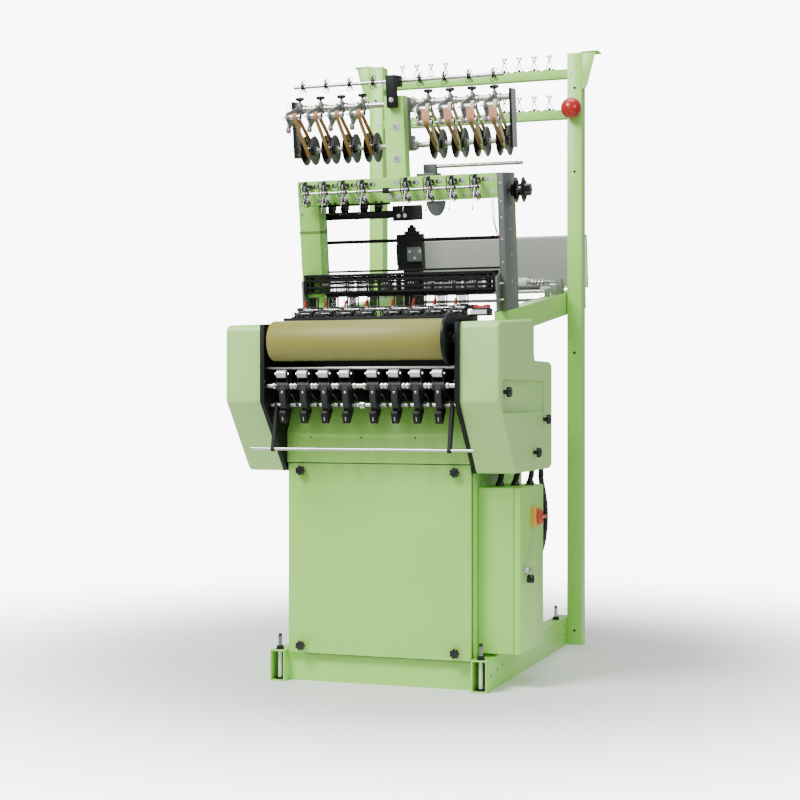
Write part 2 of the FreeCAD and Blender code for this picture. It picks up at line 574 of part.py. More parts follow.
def make_press_arms():
    hub = rod("press_hub", "x", "hub_radius", "hub_length", "-hub_length / 2", "press_shaft_y", "press_shaft_z")
    arm = profile("press_arm_web", "-arm_width / 2", "arm_width", [
        ("press_shaft_y - hub_radius", "press_shaft_z"), ("press_shaft_y - hub_radius", "lower_shaft_z + 4"),
        ("press_shaft_y - hub_radius + 12", "arm_toe"), ("lower_shaft_y + arm_thick", "arm_toe + 12"),
        ("lower_shaft_y + arm_thick", "lower_shaft_z + 8"), ("press_shaft_y + arm_thick", "press_shaft_z")])
    pieces = [hub, arm]
    for side in (-1, 1):
        x = f"{side} * (press_roller_length / 2 + joint_gap + fork_ear / 2) - fork_ear / 2"
        pieces.append(profile(f"press_ear_{side + 1}", x, "fork_ear", [
            ("press_shaft_y - 8", "press_shaft_z"), ("press_roller_y - 6", "press_roller_z + 6"),
            ("press_roller_y + 6", "press_roller_z + 6"), ("press_shaft_y + 8", "press_shaft_z")]))
    solid = fuse("press_arm_blank", *pieces)
    bores = [rod("press_arm_bore", "x", "press_shaft_radius + shaft_clearance", "hub_length + 20",
                 "-hub_length / 2 - 10", "press_shaft_y", "press_shaft_z"),
             rod("press_toe_bore", "x", "lower_shaft_radius + shaft_clearance", "arm_width + 20",
                 "-arm_width / 2 - 10", "lower_shaft_y", "lower_shaft_z"),
             rod("press_pin_bore", "x", "press_pin + shaft_clearance", "press_roller_length + 40",
                 "-press_roller_length / 2 - 20", "press_roller_y", "press_roller_z")]
    finish("press_arms", copies("press_arms", cut("press_arm", solid, *bores), head_places()))

    roller = rod("press_roller_body", "x", "press_roller_radius", "press_roller_length",
                 "-press_roller_length / 2", "press_roller_y", "press_roller_z")
    pin = rod("press_roller_pin", "x", "press_pin", "press_roller_length + 2 * (joint_gap + fork_ear)",
              "-press_roller_length / 2 - joint_gap - fork_ear", "press_roller_y", "press_roller_z")
    finish("press_rollers", copies("press_rollers", fuse("press_roller", roller, pin), head_places()))

    hub = rod("lever_hub", "x", "lever_hub", "lever_hub_length", "-lever_hub_length / 2", "lower_shaft_y",
              "lower_shaft_z")
    bar = rod("lever_bar", "y", "lever_radius", "lever_length", "0", "lower_shaft_y - lever_length", "lower_shaft_z")
    knob = doc.addObject("Part::Sphere", "LeverBall")
    bind(knob, Radius="lever_ball")
    move(knob, "0", "lower_shaft_y - lever_length", "lower_shaft_z")
    bore = rod("lever_bore", "x", "lower_shaft_radius + shaft_clearance", "lever_hub_length + 4",
               "-lever_hub_length / 2 - 2", "lower_shaft_y", "lower_shaft_z")
    finish("release_lever", cut("release_lever", fuse("lever_blank", hub, bar, knob), bore))


def tape_rod_pieces():
    inner = "inner_half"
    pieces = []
    reach = f"{inner} + side_frame_thick + tape_rod_overrun + cover_width / 4"
    bar = rod("tape_bar", "x", "tape_rod_radius", f"2 * ({reach})", f"-({reach})", "tape_rod_y", "tape_rod_z")
    for side in (-1, 1):
        x = f"{side} * ({inner} - tape_arm / 2 - joint_gap) - tape_arm / 2"
        web = profile(f"tape_arm_{side + 1}", x, "tape_arm", [
            ("lower_shaft_y - 12", "lower_shaft_z + 12"), ("lower_shaft_y - 12", "lower_shaft_z - 20"),
            ("tape_rod_y - 9", "tape_rod_z + 20"), ("tape_rod_y - 9", "tape_rod_z - 10"),
            ("tape_rod_y + 9", "tape_rod_z - 10"), ("tape_rod_y + 9", "tape_rod_z + 20"),
            ("lower_shaft_y + 12", "lower_shaft_z - 20"), ("lower_shaft_y + 12", "lower_shaft_z + 12")])
        holes = [rod(f"tape_arm_pivot_{side + 1}", "x", "lower_shaft_radius + shaft_clearance", "tape_arm + 4",
                     f"({x}) - 2", "lower_shaft_y", "lower_shaft_z"),
                 rod(f"tape_arm_eye_{side + 1}", "x", "tape_rod_radius + shaft_clearance", "tape_arm + 4",
                     f"({x}) - 2", "tape_rod_y", "tape_rod_z")]
        pieces.append(cut(f"tape_arm_cut_{side + 1}", web, *holes))
    return [bar, *pieces]


# ---------------------------------------------------------------- weaving heads
def make_heads():
    half = "(inner_half - joint_gap)"
    rail = box("head_rail_bar", f"-{half}", "head_rail_front", "head_rail_base", f"2 * {half}", "head_rail_depth",
               "head_rail_height")
    rail_top = "head_rail_base + head_rail_height"
    post = box("head_post", "-post_block", "needle_hub_y + needle_hub_radius + 2", rail_top,
               "2 * post_block", "post_block", "post_block_height")
    nose = box("head_nose", "-post_block / 2", "head_rail_front", rail_top, "post_block",
               "post_block * 0.8", "post_block_height * 0.5")
    pin = rod("needle_post", "z", "needle_pin", "needle_lift + needle_hub_height + 2", "needle_offset",
              "needle_hub_y", rail_top)
    heads = copies("head_blocks", group("head_block", post, nose, pin), head_places())

    for index, (x, _, _) in enumerate(head_places()):
        tag = f"needle_{index + 1}"
        z = f"{rail_top} + needle_lift"
        centre = f"({x}) + needle_offset"
        hub = rod(f"{tag}_hub", "z", "needle_hub_radius", "needle_hub_height", centre, "needle_hub_y", z)
        arc = doc.addObject("Part::Torus", name_of(tag + "_arc"))
        bind(arc, Radius1="needle_reach / 2", Radius2="needle_wire", Angle3=170)
        arc.Placement.Rotation = FreeCAD.Rotation(FreeCAD.Vector(0, 0, 1), 185)
        move(arc, f"({centre}) + needle_reach / 2", "needle_hub_y", f"{z} + needle_hub_height / 2")
        bore = rod(f"{tag}_bore", "z", "needle_pin + shaft_clearance", "needle_hub_height + 4", centre,
                   "needle_hub_y", f"{z} - 2")
        blank = fuse(f"{tag}_blank", hub, arc)
        finish(f"weft_{tag}", cut(f"weft_{tag}", blank, bore))

    bar = box("sley_bar", f"-{half} + sley_inset", "sley_y - sley_bar / 2", "sley_z - sley_bar",
              f"2 * ({half} - sley_inset)", "sley_bar", "sley_bar")
    parts = [bar]
    for side in (-1, 1):
        ear_x = f"{side} * ({half} - sley_inset - sley_bar / 2) - sley_bar / 2"
        parts.append(box(f"sley_ear_{side + 1}", ear_x, "sley_y - sley_bar / 2", "sley_z - sley_drop - sley_bar / 2",
                         "sley_bar", "sley_bar", "sley_drop + sley_bar / 2 - 1"))
        pin_x = f"{half} - sley_inset - 1" if side > 0 else f"-({half} + sley_pin_reach)"
        parts.append(rod(f"sley_pin_{side + 1}", "x", "sley_pin", "sley_inset + 1 + sley_pin_reach", pin_x,
                         "sley_y", "sley_z - sley_drop"))
    reed = cut("reed", box("reed_block", "-reed_width / 2", "sley_y - reed_thick / 2", "sley_z - 1", "reed_width",
                           "reed_thick", "reed_rise"),
               box("reed_room", "-reed_width / 2 + reed_frame", "sley_y - reed_thick / 2 - 1",
                   "sley_z + reed_frame", "reed_width - 2 * reed_frame", "reed_thick + 2",
                   "reed_rise - 2 * reed_frame - 1"))
    reeds = copies("reed_row", reed, head_places())
    finish("sley", fuse("sley", *parts, *reeds.Links))

    latch_bar = rod("latch_bar", "x", "red_lever_radius", f"2 * ({half} - latch_inset)", f"-{half} + latch_inset",
                    "lever_bar_y", "lever_bar_z")
    cheeks = []
    for side in (-1, 1):
        cheek = box(f"latch_cheek_{side + 1}", f"{side} * ({half} - latch_inset - 1) - 4", "lever_bar_y - 6",
                    rail_top, "8", "12", "lever_bar_z - head_rail_base - head_rail_height + 8")
        cheeks.append(cut(f"latch_cheek_cut_{side + 1}", cheek,
                          rod(f"latch_cheek_bore_{side + 1}", "x", "red_lever_radius + shaft_clearance", "20",
                              f"{side} * ({half} - latch_inset - 1) - 10", "lever_bar_y", "lever_bar_z")))
    handle = rod("red_handle", "z", "red_lever_radius", "red_lever_rise", "red_lever_offset", "lever_bar_y",
                 "lever_bar_z")
    handle.Placement.Rotation = FreeCAD.Rotation(FreeCAD.Vector(0, 1, 0), 18)
    row = copies("handle_row", handle, head_places())
    finish("latch_levers", fuse("latch_levers", latch_bar, *row.Links))

    x = f"{half} - switch_width + switch_inset"
    case = box("switch_case", x, "switch_y", "cover_rear_top + switch_lift", "switch_width", "switch_depth", "switch_height")
    foot = box("switch_foot", f"{half} - switch_foot", "switch_y + 6", rail_top, "switch_foot + 10",
               "switch_depth - 12", "switch_foot_thick")
    rocker_x = f"{x} + (switch_width - rocker_width) / 2"
    rocker_y = "switch_y + (switch_depth - rocker_depth) / 2"
    rocker_z = "cover_rear_top + switch_lift + switch_height - rocker_sunk"
    well = box("switch_well", f"{rocker_x} - hole_clearance", f"{rocker_y} - hole_clearance",
               f"{rocker_z} - rocker_travel - hole_clearance", "rocker_width + 2 * hole_clearance",
               "rocker_depth + 2 * hole_clearance", "switch_height")
    switch = cut("switch_whole", fuse("switch_case_on_foot", case, foot), well)
    finish("head_rail", group("head_rail", rail, heads, *cheeks, switch))
    finish("switch_button", box("rocker", rocker_x, rocker_y, rocker_z, "rocker_width", "rocker_depth",
                                "rocker_height + rocker_sunk"))


# ---------------------------------------------------------------- leaning upper frame
def make_upper_frame():
    arm_outer = "(half_width - arm_outer_inset)"
    column_x = "-(half_width - column_inset)"
    pieces = []
    for side in (-1, 1):
        x = f"{side} * ({arm_outer} - support_width / 2) - support_width / 2"
        pieces.append(box(f"support_arm_{side + 1}", x, "0", "-arm_drop", "support_width", "arm_length",
                          "arm_drop"))
    pieces.append(box("left_column", column_x, "column_front", "column_foot", "column_width", "column_depth",
                      "beam_high - column_foot"))
    pieces.append(box("top_beam", column_x, "beam_front", "beam_low",
                      "2 * half_width - column_inset - upright_inset - upright_thick", "beam_depth",
                      "beam_high - beam_low"))
    pieces.append(box("centre_column", "-centre_half", "centre_front", "beam_high - 1", "2 * centre_half",
                      "centre_depth", "centre_top - beam_high + 1"))
    finish("upper_frame", lean(fuse("upper_frame", *pieces)))

    upright = box("right_upright", "half_width - upright_inset - upright_thick", "upright_front",
                  "0", "upright_thick", "upright_depth", "beam_high")
    inner = "half_width - inner_post_inset"
    post = box("inner_post", f"-({inner})", "column_front + column_depth", "0", "inner_post_thick",
               "inner_post_depth", "beam_low - 4")
    finish("machined_uprights", lean(group("machined_uprights", upright, post,
                                           make_spool())))

    left = f"-({inner}) + inner_post_thick"
    right = "half_width - upright_inset - upright_thick"
    bars = []
    for name, z in (("low", "cross_bar_low"), ("high", "cross_bar_high")):
        end = right if name == "low" else "-harness_drive_half + 2"
        bars.append(rod(f"cross_bar_{name}", "x", "cross_bar_radius", f"({end}) - ({left})", left, "cross_bar_y", z))
    drive = box("drive_block", "-harness_drive_half - 20", "cross_bar_y - harness_drive_depth / 2",
                "harness_drive_high - 120", "2 * harness_drive_half + 20", "harness_drive_depth", "120")
    stem = box("drive_stem", "-harness_drive_half", "cross_bar_y - harness_drive_depth / 2", "-stem_drop",
               "2 * harness_drive_half - 8", "harness_drive_depth", "harness_drive_high - 118 + stem_drop")
    face = box("drive_face", "-15", "cross_bar_y - harness_drive_depth / 2 - 8", "harness_drive_high - 92", "54",
               "9", "50")
    hanger = box("drive_hanger", "-harness_drive_half", "beam_front + beam_depth", "cross_bar_high - 22",
                 "2 * harness_drive_half", "cross_bar_y + 12 - beam_front - beam_depth", "50")
    finish("harness_drive", lean(group("harness_drive", fuse("drive_whole", drive, stem, face, bars[0]),
                                       fuse("hanger_whole", hanger, bars[1]))))


def make_harness():
    plate_x = "half_width - harness_plate_inset - harness_plate"
    outline = [("harness_front", "harness_low"), ("harness_front", "harness_high - 21"),
               ("harness_front + 100", "harness_high"), ("harness_rear", "harness_high"),
               ("harness_rear", "harness_low")]
    right = profile("harness_plate_right", plate_x, "harness_plate", outline)
    left = box("harness_plate_left", f"-({plate_x}) - harness_plate", "harness_front", "harness_low",
               "harness_plate", "column_front - harness_front", "harness_high - harness_low - 21")
    finish("harness_plates", lean(group("harness_plates", right, left)))

    half = f"({plate_x} - joint_gap)"
    for name, y in (("front", "heald_front_y"), ("rear", "heald_rear_y")):
        bars = []
        for row in range(2):
            for place, z in (("low", "heald_low"), ("high", "heald_high")):
                bars.append(box(f"heald_{name}_{place}_{row + 1}", f"-{half}", f"{y} + {row} * heald_step", z,
                                f"2 * {half}", "heald_slat_depth", "heald_slat"))
        for side in (-1, 1):
            stile_x = f"{side} * ({half} - heald_stile / 2) - heald_stile / 2"
            bars.append(box(f"heald_{name}_stile_{side + 1}", stile_x, y, "heald_low", "heald_stile",
                            "heald_step + heald_slat_depth", "heald_high - heald_low + heald_slat"))
        for index, (x, _, _) in enumerate(head_places()):
            for step in (-1, 0, 1):
                bars.append(box(f"heald_{name}_wire_{index}_{step + 1}", f"({x}) + {step} * 12 - 1", y, "heald_low + 1",
                                "2", "heald_slat_depth", "heald_high - heald_low"))
        finish(f"heald_frame_{name}", lean(fuse(f"heald_frame_{name}", *bars)))


def make_top_rod():
    bar = rod("top_rod_bar", "x", "rod_radius", "2 * rod_half", "-rod_half", "rod_y", "rod_z")
    bracket = box("rod_bracket", "-rod_bracket_half", "centre_front - rod_bracket_thick", "rod_bracket_low",
                  "2 * rod_bracket_half", "rod_bracket_thick", "rod_bracket_high - rod_bracket_low")
    neck = box("rod_neck", "-rod_bracket_half", "centre_front - 1", "centre_top",
               "2 * rod_bracket_half", "rod_y + rod_radius + 6 - centre_front + 1", "rod_bracket_high - centre_top")
    holder = cut("rod_holder", fuse("rod_holder_blank", bracket, neck),
                 rod("rod_holder_bore", "x", "rod_radius + shaft_clearance", "2 * rod_bracket_half + 4",
                     "-rod_bracket_half - 2", "rod_y", "rod_z"))
    coil = fuse("eyelet", *[ring(f"eyelet_{index}", "x", "rod_radius + coil_wire + 0.1", "coil_wire",
                                  f"{shift}", "rod_y", "rod_z") for index, shift in enumerate((-5, 5))],
                 ring("eyelet_low", "y", "coil_radius / 2", "coil_wire", "0",
                      "rod_y", "rod_z - rod_radius - coil_radius / 2 - coil_wire - 0.1"),
                 ring("eyelet_high", "y", "coil_radius / 2", "coil_wire", "0",
                      "rod_y", "rod_z + rod_radius + coil_radius / 2 + coil_wire + 0.1"))
    spots = [(f"{side} * (coil_first + {index} * coil_pitch)", "0", "0") for side in (-1, 1) for index in range(4)]
    finish("top_rod", lean(group("top_rod", bar, holder, copies("rod_eyelets", coil, spots))))


def groove_places():
    left = [(f"-groove_left_last - {index} * groove_pitch", "0", "0") for index in (3, 2, 1, 0)]
    right = [(f"groove_right_first + {index} * groove_pitch", "0", "0") for index in (0, 1, 2, 3)]
    return left, right


def make_feeder():
    plates = []
    bores = []
    for side, x in (("left", "-feeder_left"), ("right", "feeder_right")):
        plates.append(box(f"feeder_plate_{side}", x, "feeder_y - feeder_plate_depth / 2",
                          "feeder_drive_z - feeder_plate_margin", "feeder_plate_thick", "feeder_plate_depth",
                          "feeder_shaft_z - feeder_drive_z + 2 * feeder_plate_margin"))
        for name, z, radius in (("drive", "feeder_drive_z", "feeder_drive_radius"),
                                ("shaft", "feeder_shaft_z", "feeder_shaft_radius")):
            bores.append(rod(f"feeder_bore_{side}_{name}", "x", f"{radius} + shaft_clearance", "feeder_plate_thick + 4",
                             f"({x}) - 2", "feeder_y", z))
    bearing = box("feeder_bearing", "-centre_half", "centre_front + centre_depth", "feeder_drive_z - bearing_margin",
                  "2 * centre_half", "feeder_y + feeder_plate_margin - centre_front - centre_depth",
                  "feeder_shaft_z - feeder_drive_z + 2 * bearing_margin")
    for name, z, radius in (("drive", "feeder_drive_z", "feeder_drive_radius"),
                            ("shaft", "feeder_shaft_z", "feeder_shaft_radius")):
        bores.append(rod(f"feeder_bore_mid_{name}", "x", f"{radius} + shaft_clearance", "2 * centre_half + 4",
                         "-centre_half - 2", "feeder_y", z))
    span = "feeder_left + feeder_right + feeder_plate_thick"
    shaft = rod("feeder_shaft_bar", "x", "feeder_shaft_radius", span, "-feeder_left", "feeder_y", "feeder_shaft_z")
    bored = [cut(f"feeder_plate_bored_{index}", plate, group(f"feeder_bores_{index}", *bores[2 * index:2 * index + 2]))
             for index, plate in enumerate((*plates, bearing))]
    finish("feeder_frame", lean(group("feeder_frame", *bored, shaft)))
    drive = rod("feeder_drive_shaft", "x", "feeder_drive_radius", span, "-feeder_left", "feeder_y", "feeder_drive_z")
    left, right = groove_places()
    low = cone("pulley_low", "x", "pulley_radius", "pulley_hub", "pulley_groove / 2 - belt_width / 2 - belt_side",
               "-pulley_groove / 2", "feeder_y", "feeder_drive_z")
    high = cone("pulley_high", "x", "pulley_hub", "pulley_radius", "pulley_groove / 2 - belt_width / 2 - belt_side",
                "belt_width / 2 + belt_side", "feeder_y", "feeder_drive_z")
    rims = [rod(f"pulley_rim_{index}", "x", "pulley_radius", "pulley_flange", x, "feeder_y", "feeder_drive_z")
            for index, x in enumerate(("-pulley_groove / 2 - pulley_flange", "pulley_groove / 2"))]
    hub = rod("pulley_core", "x", "pulley_hub", "pulley_groove", "-pulley_groove / 2", "feeder_y", "feeder_drive_z")
    pulley = cut("pulley", fuse("pulley_blank", low, high, hub, *rims),
                 rod("pulley_bore", "x", "feeder_drive_radius + joint_gap / 10", "pulley_groove + 20",
                     "-pulley_groove / 2 - 10", "feeder_y", "feeder_drive_z"))
    finish("feeder_pulleys", lean(group("feeder_pulleys", copies("pulley_row", pulley, left + right), drive)))

    idler = fuse("idler", rod("idler_drum", "x", "idler_radius", "idler_length", "-idler_length / 2", "idler_y",
                              "idler_high_z"),
                 rod("idler_axle", "x", "idler_pin", "idler_length + 2 * clamp_width",
                     "-idler_length / 2 - 2 * clamp_width", "idler_y", "idler_high_z"))
    finish("idlers_high", lean(copies("idlers_high", idler, left + right)))
    lower = [(x, "0", "idler_low_z - idler_high_z") for x, _, _ in right]
    finish("idlers_low", lean(copies("idlers_low", idler, lower)))

    clamp_x = "-idler_length / 2 - joint_gap - clamp_width"
    collar = rod("clamp_collar", "x", "clamp_radius", "clamp_width", clamp_x, "feeder_y", "feeder_shaft_z")
    web = profile("clamp_web", clamp_x, "clamp_width / 2", [
        ("feeder_y", "feeder_shaft_z + 8"), ("idler_y - 10", "idler_high_z + 10"),
        ("idler_y - 10", "idler_low_z - 10"), ("idler_y + 10", "idler_low_z - 10"),
        ("feeder_y - clamp_radius + 4", "feeder_shaft_z - 10"), ("feeder_y", "feeder_shaft_z - 10")])
    stem = rod("clamp_stem", "z", "clamp_stem", "clamp_radius + clamp_stem_height", f"{clamp_x} + clamp_width / 2",
               "feeder_y - clamp_radius / 2", "feeder_shaft_z + feeder_shaft_radius / 2 + 4")
    knob = rod("clamp_knob", "z", "clamp_knob", "clamp_knob_height", f"{clamp_x} + clamp_width / 2",
               "feeder_y - clamp_radius / 2", "feeder_shaft_z + clamp_radius + clamp_stem_height")
    clamp = cut("clamp", fuse("clamp_blank", collar, web, stem, knob),
                rod("clamp_bore", "x", "feeder_shaft_radius + joint_gap / 10", "clamp_width + 4", f"{clamp_x} - 2",
                    "feeder_y", "feeder_shaft_z"),
                rod("clamp_pin_high", "x", "idler_pin + shaft_clearance", "clamp_width + 4", f"{clamp_x} - 2",
                    "idler_y", "idler_high_z"),
                rod("clamp_pin_low", "x", "idler_pin + shaft_clearance", "clamp_width + 4", f"{clamp_x} - 2",
                    "idler_y", "idler_low_z"))
    finish("feeder_clamps", lean(copies("feeder_clamps", clamp, left + right)))
    belts = [belt_loop("belt_left", "idler_high_z"), belt_loop("belt_right", "idler_low_z")]
    rows = [copies("belts_left", belts[0], left), copies("belts_right", belts[1], right)]
    finish("feeder_belts", lean(group("feeder_belts", *rows)))


def belt_loop(label, idler_z):
    """A flat belt round one idler and its pulley's hub, drawn as the true tangent loop."""
    start = FreeCAD.Vector(0, value("idler_y"), value(idler_z))
    end = FreeCAD.Vector(0, value("feeder_y"), value("feeder_drive_z"))
    loops = []
    for grow in (value("joint_gap"), value("joint_gap") + value("belt_thick")):
        small = value("idler_radius") + grow
        large = value("pulley_hub") + grow
        along = end - start
        distance = along.Length
        along.normalize()
        across = FreeCAD.Vector(0, -along.z, along.y)
        sine = (small - large) / distance
        cosine = (1 - sine * sine) ** 0.5
        edge_up = along * sine + across * cosine
        edge_down = along * sine - across * cosine
        points = [start + edge_up * small, end + edge_up * large, end + edge_down * large, start + edge_down * small]
        edges = [Part.LineSegment(points[0], points[1]).toShape(),
                 Part.Arc(points[1], end + along * large, points[2]).toShape(),
                 Part.LineSegment(points[2], points[3]).toShape(),
                 Part.Arc(points[3], start - along * small, points[0]).toShape()]
        loops.append(Part.Face(Part.Wire(edges)))
    band = loops[1].cut(loops[0]).extrude(FreeCAD.Vector(value("belt_width"), 0, 0))
    band.translate(FreeCAD.Vector(-value("belt_width") / 2, 0, 0))
    belt = doc.addObject("Part::Feature", name_of(label))
    belt.Shape = band
    return belt


# ---------------------------------------------------------------- weft tension units and spool
def make_tension():
    left = [f"-tension_left_last - {index} * tension_left_pitch" for index in (3, 2, 1, 0)]
    right = [f"tension_right_first + {index} * tension_right_pitch" for index in (0, 1, 2, 3)]
    spots = [(x, "0", "0") for x in left + right]
    reach = "tension_right_first + 3 * tension_right_pitch + tension_block"
    shaft = rod("tension_bar", "x", "tension_shaft_radius", f"2 * ({reach})", f"-({reach})", "tension_y", "tension_z")
    saddle = box("tension_saddle", "-tension_block - 14", "tension_y - 8", "tension_z - 10", "22",
                 "beam_front - tension_y + 8", "20")
    saddle = cut("tension_saddle_cut", saddle, rod("tension_saddle_bore", "x", "tension_shaft_radius + shaft_clearance",
                                                   "30", "-tension_block - 18", "tension_y", "tension_z"))
    block = box("unit_block", "-tension_block / 2", "tension_y - tension_block_depth / 2",
                "tension_z - tension_block_height / 2", "tension_block", "tension_block_depth",
                "tension_block_height")
    arm = box("unit_arm", "-tension_block / 4", "tension_y", "tension_z + tension_block_height / 2 - 12",
              "tension_block / 2", "beam_front - tension_y", "12")
    dial = rod("unit_dial", "y", "tension_block * 0.45", "12", "tension_block * 0.6",
               "tension_y - tension_block_depth / 2 - 12", "tension_z - 22")
    bore = rod("unit_bore", "x", "tension_shaft_radius + joint_gap / 10", "tension_block + 4",
               "-tension_block / 2 - 2", "tension_y", "tension_z")
    slot = box("unit_slot", "-feeler_wire - 1", "tension_y - tension_block_depth", "tension_z - 9",
               "2 * feeler_wire + 2", "2 * tension_block_depth", "18")
    unit = cut("unit", fuse("unit_blank", block, arm, dial), bore, slot)
    finish("tension_units", lean(group("tension_units", copies("unit_row", unit, spots), shaft, saddle)))

    eye = rod("feeler_boss", "x", "tension_shaft_radius + 3", "2 * feeler_wire", "-feeler_wire", "tension_y",
              "tension_z")
    hook = rod("feeler_front", "z", "feeler_wire", "feeler_drop", "0",
               "tension_y - tension_shaft_radius - 1", "tension_z")
    hook.Placement.Rotation = FreeCAD.Rotation(FreeCAD.Vector(1, 0, 0), 155)
    loop = ring("feeler_loop", "x", "feeler_wire * 3", "feeler_wire", "0",
                "tension_y - tension_shaft_radius - 1 - feeler_drop * 0.4226",
                "tension_z - feeler_drop * 0.9063 - feeler_wire * 3")
    bore = rod("feeler_bore", "x", "tension_shaft_radius + shaft_clearance", "10", "-5", "tension_y", "tension_z")
    feeler = cut("feeler", fuse("feeler_blank", eye, hook, loop), bore)
    finish("tension_feelers", lean(copies("tension_feelers", feeler, spots)))


def make_spool():
    rims = [cone(f"spool_rim_{index}", "x", low, high, "spool_flange", x, "spool_y", "spool_z")
            for index, (x, low, high) in enumerate((
                ("spool_x - spool_half", "spool_radius * 0.8", "spool_radius"),
                ("spool_x + spool_half - spool_flange", "spool_radius", "spool_radius * 0.8")))]
    hub = rod("spool_hub_bar", "x", "spool_hub", "4 * spool_half", "spool_x - 2 * spool_half + 4", "spool_y", "spool_z")
    axle_x = "half_width - upright_inset"
    axle = rod("spool_axle", "x", "spool_hub * 0.4", f"spool_x + 2 * spool_half + 8 - ({axle_x})", axle_x,
               "spool_y", "spool_z")
    bore = rod("spool_bore", "x", "spool_hub * 0.4 + shaft_clearance", "6 * spool_half", "spool_x - 3 * spool_half",
               "spool_y", "spool_z")
    finish("spool", lean(cut("spool", fuse("spool_blank", hub, *rims), bore)))
    return axle


# ---------------------------------------------------------------- rear rollers
def make_rear():
    inner = "(half_width - arm_outer_inset - support_width)"
    blocks = []
    for name, y, z, radius in (("warp", "warp_roller_y", "warp_roller_z", "warp_roller_radius"),
                               ("low", "low_roller_y", "low_roller_z", "low_roller_radius")):
        half = f"({inner} - warp_gap)"
        body = rod(f"{name}_roller_body", "x", radius, f"2 * {half}", f"-{half}", y, z)
        pins = rod(f"{name}_roller_pin", "x", "warp_pin", f"2 * ({inner} + support_width / 2)", f"-({inner} + support_width / 2)",
                   y, z)
        finish(f"{name}_roller", lean(fuse(f"{name}_roller", body, pins)))
        for side in (-1, 1):
            x = f"{side} * ({inner} + support_width / 2) - support_width / 4"
            block = box(f"{name}_block_{side + 1}", x, f"{y} - 14", "0", "support_width / 2", "28", f"{z} + 14")
            blocks.append(cut(f"{name}_block_bored_{side + 1}", block,
                              rod(f"{name}_block_bore_{side + 1}", "x", "warp_pin + shaft_clearance",
                                  "support_width", f"({x}) - 8", y, z)))
    stay = rod("warp_stay", "x", "stay_radius", f"2 * {inner}", f"-{inner}", "stay_y", "stay_z - arm_drop / 2")
    finish("roller_blocks", lean(group("roller_blocks", *blocks, stay)))

    outer = "(half_width - arm_outer_inset)"
    sheet_plate = box("rear_sheet", f"-{outer} - rear_lip_x", "rear_plate_y", "rear_plate_low",
                      f"2 * ({outer} + rear_lip_x)", "rear_plate_thick", "rear_plate_high - rear_plate_low")
    lips = [box("rear_lip_top", f"-{outer} - rear_lip_x", "rear_plate_y", "rear_plate_high - rear_plate_thick",
                f"2 * ({outer} + rear_lip_x)", "rear_plate_lip", "rear_plate_thick")]
    for side in (-1, 1):
        x = f"{side} * ({outer} + rear_lip_x - rear_plate_thick / 2) - rear_plate_thick / 2"
        lips.append(box(f"rear_lip_{side + 1}", x, "rear_plate_y", "rear_plate_low", "rear_plate_thick",
                        "rear_plate_lip", "rear_plate_high - rear_plate_low"))
    finish("rear_plate", lean(fuse("rear_plate", sheet_plate, *lips)))


